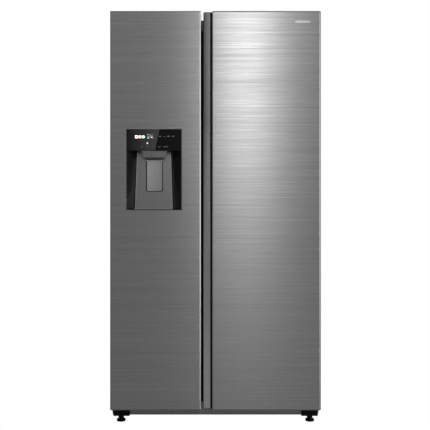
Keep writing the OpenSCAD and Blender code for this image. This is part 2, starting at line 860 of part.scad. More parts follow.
// Dispenser frame on the door face, its body inside the freezer door and the ice chute above it
frame_y = front_y + 0.4;
frame_w = 4;
disp_c = (disp_x0 + disp_x1) / 2;
disp_y1 = back_y + 20.5;
chute_wall = 3;
chute_y = [back_y - 43.5, back_y + 27.3];
chute_top = chute_z[1] + 6;
bulge_x = [fzi[0] + ridge_in, fzi[1] - ridge_in];
bulge_z = [890, 1405];
bulge_t = 2.5;

module dispenser_body(g) {
    span([disp_x0 + 3 - g, disp_x1 - 3 + g], [face_y, disp_y1 + g], [disp_z0 + 3 - g, disp_z1 - 3 + g]);
    span([chute_x[0] - chute_wall - g, chute_x[1] + chute_wall + g],
        [chute_y[0] - chute_wall - g, chute_y[1] + chute_wall + g],
        [disp_zp + 2, chute_top + g]);
}

module freezer_door_foam() {
    color("#ece3c6") difference() {
        union() {
            raise(foam_z) freezer_core_2d();
            span([bulge_x[0] + bulge_t + fit, bulge_x[1] - bulge_t - fit],
                [back_y - liner_t - 1, back_y + ridge_t - bulge_t - fit],
                [bulge_z[0] + bulge_t + fit, bulge_z[1] - bulge_t - fit]);
        }
        dispenser_body(fit);
        span([disp_x0, disp_x1], [face_y - e, face_y + 4], [disp_z0, disp_z1]);
        span([chute_x[0] + 1, chute_x[1] - 1], [back_y, back_y + ridge_t], chute_z);
    }
}

module fridge_door_foam() {
    color("#ece3c6") raise(foam_z) fridge_core_2d();
}

// Inner liner of a door: flat panel with the raised frame that carries the bins
module door_liner(x, inner) {
    rx = [inner[0] + ridge_in, inner[1] - ridge_in];
    rz = [floor_z + ridge_in, ceiling_z - ridge_in];
    span([x[0] + 3, x[1] - 3], [back_y - liner_t, back_y], [door_z0 + 8, cab_z1 - 4]);
    difference() {
        span(rx, [back_y - e, back_y + ridge_t], rz);
        span([rx[0] + ridge_w, rx[1] - ridge_w], [back_y - 2, back_y + ridge_t + e],
            [rz[0] + ridge_w, rz[1] - ridge_w]);
    }
}

module freezer_door_liner() {
    color("#f2f4f5") difference() {
        union() {
            door_liner([fz_x0, fz_x1], fzi);
            span(bulge_x, [back_y - e, back_y + ridge_t], bulge_z);
        }
        span([bulge_x[0] + bulge_t, bulge_x[1] - bulge_t],
            [back_y - liner_t - e, back_y + ridge_t - bulge_t],
            [bulge_z[0] + bulge_t, bulge_z[1] - bulge_t]);
        span([chute_x[0] + 1, chute_x[1] - 1], [back_y, back_y + ridge_t + e], chute_z);
    }
}

module fridge_door_liner() {
    color("#f2f4f5") door_liner([fr_x0, fr_x1], fri);
}

module freezer_door_caps() {
    color("#6b6d70") difference() {
        union() {
            for (z = [[door_z0, door_z0 + cap_t], [door_z1 - cap_t, door_z1]]) {
                raise(z) plan([fz_x0, fz_x1], [face_y, back_y], [door_edge_r, freezer_edge_r]);
            }
            for (z = [[door_z0 + 1, door_z0 + cap_core], [door_z1 - cap_core, door_z1 - 1]]) {
                raise(z) freezer_core_2d();
            }
        }
        mirror([1, 0, 0]) hinge_cut();
    }
}

module fridge_door_caps() {
    color("#6b6d70") difference() {
        union() {
            for (z = [[door_z0, door_z0 + cap_t], [door_z1 - cap_t, door_z1]]) {
                raise(z) {
                    plan([fr_skin_x, fr_x1], [face_y, back_y], [fridge_edge_r, door_edge_r]);
                    span2([fr_x0, fr_skin_x + 1], [grip_y, back_y]);
                }
            }
            for (z = [[door_z0 + 1, door_z0 + cap_core], [door_z1 - cap_core, door_z1 - 1]]) {
                raise(z) fridge_core_2d();
            }
        }
        hinge_cut();
    }
}

// Magnetic gasket: a base frame with a narrower sealing frame on it
gasket_z = [floor_z - 20, ceiling_z + 25];
gasket_w = 16;
module frame_ring(x, y, z, w) {
    difference() {
        span(x, y, z);
        span([x[0] + w, x[1] - w], [y[0] - 1, y[1] + 1], [z[0] + w, z[1] - w]);
    }
}
module gasket(x) {
    frame_ring(x, [back_y, back_y + 4], gasket_z, gasket_w);
    frame_ring([x[0] + 2, x[1] - 2], [back_y + 3.5, cab_y0 - 0.3],
        [gasket_z[0] + 2, gasket_z[1] - 2], gasket_w - 4);
}

module freezer_door_gasket() {
    color("#8a8c8e") gasket([fz_x0 + 24, fz_x1 - 4.5]);
}

module fridge_door_gasket() {
    color("#8a8c8e") gasket([fr_x0 + 4.5, fr_x1 - 24]);
}

// Grip pocket along the freezer door's free edge
module freezer_door_handle() {
    x0 = fz_x1 - fz_trim_w;
    nest = sheet + fit;
    color("#3a3b3d") raise(skin_z) {
        plan([x0, fz_x1 - nest], [face_y + nest, lip_y1], [0, freezer_edge_r - nest]);
        span2([x0, x0 + trim_t], [lip_y1 - 1, face_y + 46]);
        span2([x0, fz_x1], [face_y + 46, face_y + 48.5]);
        span2([fz_x1 - trim_t, fz_x1], [face_y + 48, back_y - liner_t]);
    }
}

// Set-back grip strip along the fridge door's free edge, with the pocket behind the skin's edge
module fridge_door_handle() {
    xp = fr_skin_x + pull_back;
    color("#7d7e80") raise(skin_z) {
        span2([fr_x0, fr_x0 + grip_w], [grip_y, grip_y + trim_t]);
        span2([fr_x0, fr_x0 + trim_t], [grip_y, back_y - liner_t]);
        span2([fr_x0 + grip_w - trim_t, fr_x0 + grip_w], [grip_y, grip_y + 14.5]);
        span2([fr_x0 + grip_w - trim_t, xp], [grip_y + 12, grip_y + 14.5]);
        span2([xp - trim_t, xp], [face_y + 6, grip_y + 14.5]);
        span2([fr_skin_x + 2.2, xp], [face_y + 2.2, face_y + 6.5]);
    }
}

// Door bin: open box with a thicker front rim
slim_d = 66;
module bin(inner, depth, z, h) {
    gap = ridge_in + ridge_w + fit;
    x = [inner[0] + gap, inner[1] - gap];
    tray(x, [back_y + fit, back_y + depth], [z, z + h], 2.5);
    span(x, [back_y + depth - 4, back_y + depth], [z + h - 12, z + h]);
}

module freezer_door_bins() {
    color("#e4eef2") {
        for (z = [140, 350]) {
            bin(fzi, slim_d, z, 100);
        }
        for (z = [600, 1430, 1550]) {
            bin(fzi, 105, z, 90);
        }
    }
}

// Dairy compartment of the fridge door, closed by a flap on ears
dairy_z = [1470, 1590];
dairy_y = back_y + 122;
flap_y = dairy_y + 3;
module fridge_door_bins() {
    gap = ridge_in + ridge_w + fit;
    x = [fri[0] + gap, fri[1] - gap];
    color("#e4eef2") {
        for (z = [140, 340]) {
            bin(fri, slim_d, z, 100);
        }
        for (z = [570, 780, 990, 1200]) {
            bin(fri, 122, z, 95);
        }
        difference() {
            union() {
                span(x, [back_y + fit, dairy_y], dairy_z);
                for (ear = [x[0], x[1] - 4]) {
                    span([ear, ear + 4], [dairy_y - 1, flap_y + 5], [dairy_z[1] - 8, dairy_z[1] + 3]);
                }
            }
            span([x[0] + 2.5, x[1] - 2.5], [back_y + 3, dairy_y - 2.5],
                [dairy_z[0] + 2.5, dairy_z[1] - 2.5]);
            span([x[0] + 2.5, x[1] - 2.5], [dairy_y - 3, dairy_y + e],
                [dairy_z[0] + 30, dairy_z[1] - 2.5]);
            bar_x(pivot_r + run, [x[0] - 1, x[1] + 1], flap_y, dairy_z[1] - 2);
        }
    }
}

module dairy_lid() {
    gap = ridge_in + ridge_w + fit;
    x = [fri[0] + gap, fri[1] - gap];
    color("#d4e6ee") {
        bar_x(pivot_r, [x[0] + 0.5, x[1] - 0.5], flap_y, dairy_z[1] - 2);
        span([x[0] + 5, x[1] - 5], [flap_y - 1.5, flap_y + 1.5], [dairy_z[0] + 22, dairy_z[1] - 2]);
        span([x[0] + 110, x[1] - 110], [flap_y, flap_y + 9], [dairy_z[0] + 22, dairy_z[0] + 26]);
    }
}

// Plain pill-shaped plate
module badge() {
    z = 1719;
    x = [343, 397];
    color("#c8c9ca") {
        span(x, [front_y, face_y], [z - 5, z + 5]);
        for (end = x) {
            bar_y(5, end, [front_y, face_y], z);
        }
    }
}

// ---- Dispenser ----

// Plane of the alcove's back plate at its foot and at its top, and the paddle that sits in it
plate_y = [back_y - 21, back_y - 11];
plate_c = disp_c - 3.5;
paddle_c = disp_c - 2;
paddle_y = back_y - 1;
paddle_z = [1004, 1138];
paddle_half = 33;
paddle_space = back_y + 16.5;
paddle_r = 8;
spout_z = [disp_zp - 29, disp_zp - 1.2];
open_x = [disp_x0 + frame_w, disp_x1 - frame_w];

// Extrudes an outline drawn in X and Z from the first depth to the second
module raise_front(y) {
    translate([0, y[1], 0]) rotate([90, 0, 0]) linear_extrude(height = y[1] - y[0]) children();
}

// Outline of the paddle, grown by g, with its lower corners rounded
module paddle_2d(g) {
    x = [paddle_c - paddle_half - g, paddle_c + paddle_half + g];
    span2(x, [paddle_z[0] - g + paddle_r, paddle_z[1] + g]);
    span2([x[0] + paddle_r, x[1] - paddle_r], [paddle_z[0] - g, paddle_z[0] + paddle_r]);
    for (cx = [x[0] + paddle_r, x[1] - paddle_r]) {
        translate([cx, paddle_z[0] - g + paddle_r]) circle(r = paddle_r);
    }
}

// Tapered block of the spout, grown by g
module spout_body(g) {
    hull() {
        span([disp_c - 54 - g, disp_c + 54 + g], [back_y - 54 - g, back_y + 6 + g],
            [spout_z[1] - 2, spout_z[1] + g]);
        span([disp_c - 46 - g, disp_c + 46 + g], [back_y - 50 - g, back_y + 4 + g],
            [spout_z[0] - g, spout_z[0] + 1]);
    }
}

// Frame and body with the tapered alcove, the recess that the paddle hangs in, the control
// electronics pocket and the ice chute
module dispenser_housing() {
    color("#141516") difference() {
        union() {
            span([disp_x0, disp_x1], [frame_y, face_y], [disp_z0, disp_z1]);
            dispenser_body(0);
        }
        span(open_x, [front_y - e, face_y + 2.2], [disp_zp - fit, disp_z1 - frame_w]);
        span([disp_x0 + 12, disp_x1 - 12], [face_y + 2, face_y + 18], [disp_zp + 8, disp_z1 - 10]);
        hull() {
            span(open_x, [front_y - 1, front_y - 0.5], [disp_z0 + frame_w, disp_zp - 1]);
            span([plate_c - 82, plate_c + 82], [plate_y[0] - 0.5, plate_y[0]],
                [disp_z0 + 6, disp_z0 + 7]);
            span([plate_c - 73, plate_c + 73], [plate_y[1] - 0.5, plate_y[1]],
                [disp_zp - 2, disp_zp - 1]);
        }
        raise_front([plate_y[0] - 2, paddle_space]) paddle_2d(3.5);
        span([paddle_c - 41, paddle_c + 41], [paddle_y - 6.4, paddle_space],
            [paddle_z[1] - 30, spout_z[0] + 4]);
        spout_body(fit);
        span(chute_x, chute_y, [disp_zp + 2, chute_top - chute_wall]);
        span(chute_x, [chute_y[0], back_y - 3], [disp_zp - 16, disp_zp + 3]);
        span([chute_x[0] + 1, chute_x[1] - 1], [chute_y[1] - 1, chute_y[1] + chute_wall + 1], chute_z);
    }
}

// Control panel
module dispenser_panel() {
    x = [open_x[0] + fit, open_x[1] - fit];
    color("#08090a") span(x, [frame_y, face_y + 2], [disp_zp, disp_z1 - frame_w - fit]);
}

// Funnel that guides ice and water down, with the ears that hold the paddle
module dispenser_spout() {
    color("#77797c") {
        difference() {
            spout_body(0);
            span([disp_c - 29, disp_c + 29], [back_y - 42, back_y - 22], [spout_z[0] - e, spout_z[1] + e]);
        }
        for (x = [paddle_c - 36, paddle_c + 36]) {
            difference() {
                span([x - 2, x + 2], [paddle_y - 6, paddle_y + 6], [paddle_z[1] - 6, spout_z[0] + 0.5]);
                bar_x(pivot_r + run, [x - 3, x + 3], paddle_y, paddle_z[1]);
            }
        }
    }
}

// Paddle that a glass pushes back
module dispenser_paddle() {
    color("#8f9194") {
        bar_x(pivot_r, [paddle_c - 37.5, paddle_c + 37.5], paddle_y, paddle_z[1]);
        raise_front([paddle_y - 2, paddle_y + 2]) paddle_2d(0);
    }
}

// Drip tray with a slotted grate
module dispenser_tray() {
    z = [disp_z0 + 6.4, disp_z0 + 11.5];
    y = [face_y + 8, plate_y[0] - 0.5];
    color("#b9bbbd") difference() {
        span([plate_c - 80, plate_c + 80], y, z);
        for (i = [-7 : 7]) {
            x = plate_c + i * 10;
            span([x - 2.5, x + 2.5], [y[0] + 6, y[1] - 6], [z[0] + 2, z[1] + e]);
        }
    }
}

// Insulated flap that closes the ice chute's mouth
module chute_flap() {
    y = chute_y[1] - 3;
    color("#dfe2e4") {
        span([chute_x[0] + 1, chute_x[1] - 1], [y - 1.5, y + 1.5], [chute_z[0] - 2, chute_z[1] - 1]);
        bar_x(2, [chute_x[0] + 0.5, chute_x[1] - 0.5], y, chute_z[1] - 1);
    }
}

cabinet_shell();
cabinet_back();
cabinet_foam();
freezer_liner();
fridge_liner();
mullion_trim();
base_frame();
kick_plate();
bottom_hinges();
top_hinges();
hinge_covers();
rear_cover();
compressor();
condenser();
drain_pan();
motors();
water_valve();
cord_gland();
evaporator();
evaporator_cover();
fridge_air_duct();
freezer_shelves();
fridge_shelves();
interior_lights();
water_filter();
ice_maker();
ice_bucket();
ice_auger();
condenser_fan();
evaporator_fan();
roller_left();
roller_right();
foot_left();
foot_right();
freezer_drawer_upper();
freezer_drawer_lower();
crisper_upper();
crisper_lower();
freezer_door_skin();
freezer_door_foam();
freezer_door_liner();
freezer_door_caps();
freezer_door_gasket();
freezer_door_handle();
freezer_door_bins();
dispenser_housing();
dispenser_panel();
dispenser_spout();
dispenser_tray();
dispenser_paddle();
chute_flap();
fridge_door_skin();
fridge_door_foam();
fridge_door_liner();
fridge_door_caps();
fridge_door_gasket();
fridge_door_handle();
fridge_door_bins();
dairy_lid();
badge();
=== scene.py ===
import json
import math

import bmesh
import bpy
from mathutils import Matrix, Vector


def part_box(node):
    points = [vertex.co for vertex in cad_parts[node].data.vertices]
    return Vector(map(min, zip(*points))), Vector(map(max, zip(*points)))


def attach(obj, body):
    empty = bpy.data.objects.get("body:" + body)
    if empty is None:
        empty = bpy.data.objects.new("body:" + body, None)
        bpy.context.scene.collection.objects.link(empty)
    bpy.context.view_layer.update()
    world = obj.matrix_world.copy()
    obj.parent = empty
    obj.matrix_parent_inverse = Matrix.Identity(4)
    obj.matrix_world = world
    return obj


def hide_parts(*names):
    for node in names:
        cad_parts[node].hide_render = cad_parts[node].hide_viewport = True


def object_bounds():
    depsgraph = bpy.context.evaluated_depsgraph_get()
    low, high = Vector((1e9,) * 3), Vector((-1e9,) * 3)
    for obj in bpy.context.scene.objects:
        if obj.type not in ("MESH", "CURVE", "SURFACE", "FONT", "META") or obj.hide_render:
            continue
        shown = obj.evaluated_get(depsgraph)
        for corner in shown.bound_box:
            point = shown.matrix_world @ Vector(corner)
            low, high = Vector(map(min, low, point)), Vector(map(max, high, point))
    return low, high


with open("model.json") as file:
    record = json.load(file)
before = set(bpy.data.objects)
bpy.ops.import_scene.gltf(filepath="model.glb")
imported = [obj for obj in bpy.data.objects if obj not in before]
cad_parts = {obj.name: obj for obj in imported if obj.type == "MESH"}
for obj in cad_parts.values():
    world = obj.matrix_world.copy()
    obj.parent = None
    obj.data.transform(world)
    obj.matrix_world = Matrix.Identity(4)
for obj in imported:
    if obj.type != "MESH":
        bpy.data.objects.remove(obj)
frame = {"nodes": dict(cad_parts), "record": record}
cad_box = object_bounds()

# ---------------------------------------------------------------- frame values
MM = 0.001
LOW, HIGH = cad_box
FRONT_Y = LOW[1]
BODY_OF = {node: body for body, nodes in frame["record"]["behaviour"]["bodies"].items() for node in nodes}
SLOT_OF = {s["node"]: s["material_slot"] for s in frame["record"]["subparts"]}


# ---------------------------------------------------------------- node helpers
class Mat:
    """A material under construction: one Principled shader and the nodes that feed it."""

    def __init__(self, name, colour, rough, metal=0.0, **sockets):
        self.m = bpy.data.materials.new(name)
        self.m.use_nodes = True
        self.t = self.m.node_tree
        self.p = self.t.nodes["Principled BSDF"]
        self.set("Base Color", (*colour, 1.0))
        self.set("Roughness", rough)
        self.set("Metallic", metal)
        for key, value in sockets.items():
            self.set(key.replace("_", " "), value)

    def set(self, socket, value):
        self.p.inputs[socket].default_value = value

    def node(self, kind, **values):
        """New node. Each value is one of its own settings, or else the constant of one of its sockets."""
        n = self.t.nodes.new(kind)
        for key, value in values.items():
            if key in n.bl_rna.properties:
                setattr(n, key, value)
            else:
                n.inputs[key.replace("_", " ")].default_value = value
        return n

    def link(self, out, into):
        self.t.links.new(out, into)

    def place(self, scale):
        """Object coordinates in metres, stretched by scale on each axis."""
        coord = self.node("ShaderNodeTexCoord")
        mapping = self.node("ShaderNodeMapping")
        mapping.inputs["Scale"].default_value = scale
        self.link(coord.outputs["Object"], mapping.inputs["Vector"])
        return mapping.outputs["Vector"]

    def along(self, axis):
        """Place along one axis of the object, in metres."""
        coord = self.node("ShaderNodeTexCoord")
        split = self.node("ShaderNodeSeparateXYZ")
        self.link(coord.outputs["Object"], split.inputs[0])
        return split.outputs[axis]

    def grey(self, level):
        """Base colour from one grey level."""
        rgb = self.node("ShaderNodeCombineColor")
        for channel in ("Red", "Green", "Blue"):
            self.link(level, rgb.inputs[channel])
        self.link(rgb.outputs["Color"], self.p.inputs["Base Color"])

    def noise(self, scale, stretch=(1, 1, 1), detail=3.0, rough=0.55):
        """Fractal noise from 0 to 1, which lies mostly near 0.5."""
        n = self.node("ShaderNodeTexNoise", Scale=scale, Detail=detail, Roughness=rough)
        self.link(self.place(stretch), n.inputs["Vector"])
        return n.outputs["Fac"]

    def remap(self, value, low, high, start=0.3, end=0.7):
        """Runs from low to high while the value runs from start to end."""
        n = self.node("ShaderNodeMapRange", From_Min=start, From_Max=end, To_Min=low, To_Max=high)
        self.link(value, n.inputs["Value"])
        return n.outputs["Result"]

    def math(self, kind, *values):
        """Sum or product of two or three values, each a number or another node's output."""
        n = self.node("ShaderNodeMath", operation=kind)
        for socket, value in zip(n.inputs, values):
            if isinstance(value, (int, float)):
                socket.default_value = value
            else:
                self.link(value, socket)
        return n.outputs["Value"]

    def colour(self, fac, dark, light):
        """Base colour between two colours. Sockets 6 and 7 of a mix node are its colours A and B."""
        mix = self.t.nodes.new("ShaderNodeMix")
        mix.data_type = "RGBA"
        mix.inputs[6].default_value = (*dark, 1.0)
        mix.inputs[7].default_value = (*light, 1.0)
        self.link(fac, mix.inputs[0])
        self.link(mix.outputs[2], self.p.inputs["Base Color"])

    def painted_edge_shading(self, start, full, tone):
        """Lays a grey tone of painted light and shade over the base colour, from one place along X to where
        it is full.
        """
        under = self.p.inputs["Base Color"].links[0].from_socket
        grey = (tone, tone, tone)
        self.colour(self.remap(self.along("X"), 0.0, 1.0, start, full), grey, grey)
        over = self.p.inputs["Base Color"].links[0].from_node
        self.link(under, over.inputs[6])

    def rough(self, fac):
        self.link(fac, self.p.inputs["Roughness"])

    def bump(self, height, strength, distance):
        n = self.node("ShaderNodeBump", Strength=strength, Distance=distance)
        self.link(height, n.inputs["Height"])
        self.link(n.outputs["Normal"], self.p.inputs["Normal"])


def tint(colour, factor):
    """Lighter or darker version of a colour."""
    return tuple(min(1.0, c * factor) for c in colour)


# ---------------------------------------------------------------- materials
def brushed_steel(name, colour, rough=0.3, streak=0.5, edges=()):
    """Brushed metal with long fine streaks along X.

    Each of its edges is a grey tone of painted light and shade that sets in along X: (X where it starts, X
    where it is full, grey level).
    """
    m = Mat(name, colour, rough, 1.0, Anisotropic=0.9, Anisotropic_Rotation=0.25)
    fine = m.noise(1.0, (9.0, 60.0, 1500.0), detail=2.0)
    medium = m.noise(1.0, (2.6, 20.0, 330.0), detail=3.0)
    broad = m.noise(1.0, (1.2, 6.0, 95.0), detail=2.0)
    grooves = m.math("ADD", m.math("MULTIPLY", fine, 0.45), m.math("MULTIPLY", medium, 0.55))
    streaks = m.math("ADD", m.math("MULTIPLY", grooves, 0.75), m.math("MULTIPLY", broad, 0.25))
    dark, light = tint(colour, 1 - 0.26 * streak), tint(colour, 1 + 0.24 * streak)
    m.colour(m.remap(streaks, 0.0, 1.0, 0.38, 0.62), dark, light)
    # painted light and shade along the door's edges
    for start, full, tone in edges:
        m.painted_edge_shading(start, full, tone)
    m.rough(m.remap(grooves, rough + 0.03, rough - 0.03, 0.38, 0.62))
    m.bump(grooves, 0.06 * streak, 0.0008)
    tangent = m.node("ShaderNodeTangent", direction_type="RADIAL", axis="Z")
    m.link(tangent.outputs["Tangent"], m.p.inputs["Tangent"])
    return m.m


def painted(name, colour, rough=0.42, peel=0.0004, metal=0.0, **sockets):
    """Sprayed or powder paint: slight tone drift, orange peel and a soft change of gloss."""
    m = Mat(name, colour, rough, metal, **sockets)
    m.colour(m.remap(m.noise(5.0, detail=4.0), 0, 1), tint(colour, 0.93), tint(colour, 1.07))
    m.rough(m.remap(m.noise(38.0, detail=5.0), rough - 0.05, rough + 0.07))
    m.bump(m.noise(900.0, detail=2.0), 0.25, peel)
    return m.m


def moulded(name, colour, rough=0.4, grain=1400.0, depth=0.0002, **sockets):
    """Injection moulded plastic: fine spark-eroded grain, flow marks and handling sheen."""
    m = Mat(name, colour, rough, 0.0, **sockets)
    m.colour(m.remap(m.noise(9.0, (1, 1, 0.4), detail=4.0), 0, 1), tint(colour, 0.97), tint(colour, 1.03))
    m.rough(m.remap(m.noise(60.0, detail=6.0, rough=0.65), rough - 0.03, rough + 0.05))
    m.bump(m.noise(grain, detail=2.0), 0.3, depth)
    return m.m


def gloss_black(name, colour=(0.013, 0.013, 0.014)):
    """Piano black moulding under a clear coat, with faint dust and wipe marks in the gloss."""
    m = Mat(name, colour, 0.25, 0.0, Coat_Weight=0.12, Coat_Roughness=0.08, Specular_IOR_Level=0.25)
    m.colour(m.remap(m.noise(14.0, detail=5.0), 0, 1), tint(colour, 0.8), tint(colour, 1.3))
    m.rough(m.remap(m.noise(26.0, (1, 1, 0.3), detail=6.0, rough=0.7), 0.2, 0.32))
    return m.m


def clear_plastic(name, colour):
    """Clear crystal polystyrene with a cool tint: part see-through, glossy, with faint scuffs."""
    m = Mat(name, colour, 0.12, 0.0, Transmission_Weight=0.55, IOR=1.45, Alpha=0.45)
    m.colour(m.remap(m.noise(6.0, detail=4.0), 0, 1), tint(colour, 0.94), tint(colour, 1.04))
    m.rough(m.remap(m.noise(45.0, (1, 1, 0.2), detail=6.0, rough=0.7), 0.07, 0.28))
    m.bump(m.noise(300.0, detail=2.0), 0.1, 0.0002)
    return m.m


def shelf_glass(name):
    """Toughened glass with a green cast and finger marks in its gloss."""
    m = Mat(name, (0.78, 0.9, 0.87), 0.03, 0.0, Transmission_Weight=0.85, IOR=1.5, Alpha=0.4)
    m.rough(m.remap(m.noise(20.0, detail=6.0, rough=0.7), 0.01, 0.09))
    m.colour(m.remap(m.noise(4.0), 0, 1), (0.72, 0.86, 0.83), (0.82, 0.93, 0.9))
    return m.m


def sheet_zinc(name, colour):
    """Galvanised sheet: soft spangle and a rolled grain."""
    m = Mat(name, colour, 0.42, 0.85)
    cells = m.node("ShaderNodeTexVoronoi", Scale=120.0)
    m.link(m.place((1, 1, 1)), cells.inputs["Vector"])
    spangle = m.math("ADD", m.math("MULTIPLY", cells.outputs["Distance"], 0.6),
                     m.math("MULTIPLY", m.noise(1.0, (6, 6, 240)), 0.4))
    m.colour(m.remap(spangle, 0, 1, 0.2, 0.7), tint(colour, 0.92), tint(colour, 1.08))
    m.rough(m.remap(spangle, 0.38, 0.48, 0.2, 0.7))
    m.bump(spangle, 0.12, 0.0003)
    return m.m


def rigid_foam(name, colour):
    """Foamed insulation: open cells and a mottled tone."""
    m = Mat(name, colour, 0.85)
    m.colour(m.remap(m.noise(120.0, detail=6.0), 0, 1), tint(colour, 0.8), tint(colour, 1.08))
    m.bump(m.noise(520.0, detail=5.0), 0.7, 0.001)
    return m.m


def lamp_lens(name):
    """Ribbed lens of the interior lights, lit from behind."""
    m = Mat(name, (0.95, 0.95, 0.9), 0.35, 0.0, Emission_Strength=9.0)
    m.set("Emission Color", (1.0, 0.97, 0.9, 1.0))
    ribs = m.node("ShaderNodeTexWave", Scale=40.0, Distortion=0.0)
    m.link(m.place((1, 1, 1)), ribs.inputs["Vector"])
    m.colour(m.remap(m.noise(30.0), 0, 1), (0.86, 0.86, 0.82), (0.97, 0.97, 0.94))
    m.bump(ribs.outputs["Fac"], 0.3, 0.0006)
    return m.m


def rubber(name, colour):
    """Soft dull rubber or gasket vinyl."""
    m = Mat(name, colour, 0.6, 0.0, Sheen_Weight=0.15)
    m.colour(m.remap(m.noise(40.0, detail=6.0), 0, 1), tint(colour, 0.8), tint(colour, 1.2))
    m.rough(m.remap(m.noise(90.0, detail=4.0), 0.52, 0.72))
    m.bump(m.noise(1800.0, detail=2.0), 0.3, 0.0002)
    return m.m


def satin_painted_shading(name, axis, span, shade_levels, rough):
    """Satin anodised metal with painted light and shade: its tone changes evenly along one axis."""
    m = Mat(name, (shade_levels[0],) * 3, rough, 1.0)
    level = m.remap(m.along(axis), *shade_levels, *span)
    m.grey(m.math("MULTIPLY", level, m.remap(m.noise(5.0, detail=4.0), 0.95, 1.05)))
    m.rough(m.remap(m.noise(1.0, (60.0, 60.0, 900.0), detail=3.0), rough - 0.03, rough + 0.05))
    return m.m


STEEL = (0.47, 0.47, 0.474)
# The paddle's colour runs from light at its left to dark at its right: a painted highlight.
PADDLE_HIGHLIGHT_SPAN = [corner[0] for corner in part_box("dispenser_paddle")]
# The grip strip's colour is light at its foot and darkens upwards between these heights: painted light and
# shade.
GRIP_SHADE_SPAN = (0.1, 1.3)      # heights between which the grip strip darkens upwards

# One finish for each material slot of the record
SLOT_MATERIAL = {
    "brushed_steel": brushed_steel("steel_door", STEEL),
    # grip strip: painted light at its foot, painted shade at its head
    "grip_steel": satin_painted_shading("grip_satin_painted_shade", "Z", GRIP_SHADE_SPAN, (0.82, 0.15), rough=0.32),
    "badge_metal": brushed_steel("badge_plate", (0.85, 0.85, 0.85), rough=0.25, streak=0.15),
    "painted_steel": painted("cabinet_paint", (0.17, 0.172, 0.176), metal=0.35),
    "kick_steel": painted("kick_paint", (0.42, 0.422, 0.427), metal=0.6),
    # Near black, darker than the real steel trim: a painted shade that stands in for the dark gap between
    # the doors.
    "trim_steel": painted("trim_paint_gap_shade", (0.022, 0.0224, 0.0235), rough=0.6, Specular_IOR_Level=0.2),
    "black_steel": painted("black_paint", (0.012, 0.012, 0.013), rough=0.38),
    "condenser_steel": painted("condenser_paint", (0.015, 0.015, 0.017), rough=0.35),
    "galvanised_steel": sheet_zinc("galvanised", (0.5, 0.51, 0.52)),
    "zinc_steel": sheet_zinc("zinc_plate", (0.62, 0.63, 0.64)),
    "fin_aluminium": sheet_zinc("bare_aluminium", (0.78, 0.79, 0.8)),
    "mould_aluminium": sheet_zinc("cast_mould", (0.55, 0.57, 0.58)),
    "foam": rigid_foam("insulation", (0.84, 0.76, 0.56)),
    "liner_plastic": moulded("liner_sheet", (0.86, 0.875, 0.885), rough=0.3, grain=900.0, depth=0.00005),
    "white_plastic": moulded("white_moulding", (0.85, 0.86, 0.87), rough=0.3),
    "valve_plastic": moulded("valve_moulding", (0.8, 0.8, 0.77), rough=0.45),
    "cover_plastic": moulded("cover_moulding", (0.11, 0.112, 0.116), rough=0.5, grain=800.0, depth=0.0005),
    "cap_plastic": moulded("cap_moulding", (0.15, 0.152, 0.156), rough=0.42),
    "grip_dark": moulded("grip_moulding", (0.006, 0.006, 0.0065), rough=0.55),
    "motor_plastic": moulded("motor_moulding", (0.045, 0.046, 0.05), rough=0.5),
    "roller_plastic": moulded("roller_moulding", (0.035, 0.035, 0.038), rough=0.5),
    "foot_plastic": moulded("foot_moulding", (0.005, 0.005, 0.0055), rough=0.5, Specular_IOR_Level=0.2),
    "spout_grey": painted("spout_satin", (0.56, 0.561, 0.565), rough=0.3, metal=1.0, peel=0.00006),
    # paddle: painted highlight on its left side
    "paddle_grey": satin_painted_shading("paddle_satin_painted_highlight", "X", PADDLE_HIGHLIGHT_SPAN, (0.62, 0.4), rough=0.3),
    "tray_grey": moulded("tray_moulding", (0.26, 0.262, 0.267), rough=0.35),
    "gloss_black": gloss_black("piano_black"),
    "panel_glass": gloss_black("panel_black", (0.004, 0.004, 0.005)),
    "clear_plastic": clear_plastic("crystal_plastic", (0.8, 0.9, 0.93)),
    "shelf_glass": shelf_glass("toughened_glass"),
    "light_lens": lamp_lens("frosted_lens"),
    "black_rubber": rubber("bush_rubber", (0.015, 0.015, 0.015)),
    "gasket_rubber": rubber("seal_rubber", (0.04, 0.041, 0.043)),
}

# Finishes of the dispenser's own pieces
DISPENSER_FINISH = {
    "rim": moulded("rim_moulding", (0.27, 0.27, 0.273), rough=0.28),
    "back": painted("alcove_satin", (0.27, 0.27, 0.273), rough=0.36, metal=1.0, peel=0.00006),
    # lighter copy of the back plate's satin, for the painted highlights on its sides
    "back_highlights": painted("alcove_highlight_satin", (0.4, 0.4, 0.404), rough=0.34, metal=1.0, peel=0.00006),
    # grey of the painted reflection line on the alcove's right wall
    "edge_reflection": moulded("edge_reflection_moulding", (0.1, 0.1, 0.102), rough=0.4),
}


def dress(obj, material):
    """Gives an object one material only."""
    obj.data.materials.clear()
    obj.data.materials.append(material)


def soften(obj, width, segments=2, angle=35):
    """Rounds a CAD node's sharp edges without touching its mesh."""
    weld = obj.modifiers.new("weld", "WELD")
    weld.merge_threshold = 0.00002
    bevel = obj.modifiers.new("edge_round", "BEVEL")
    bevel.width = width
    bevel.segments = segments
    bevel.limit_method = "ANGLE"
    bevel.angle_limit = math.radians(angle)
    bevel.harden_normals = True
    bevel.use_clamp_overlap = True


for node_name, node_obj in frame["nodes"].items():
    dress(node_obj, SLOT_MATERIAL[SLOT_OF[node_name]])

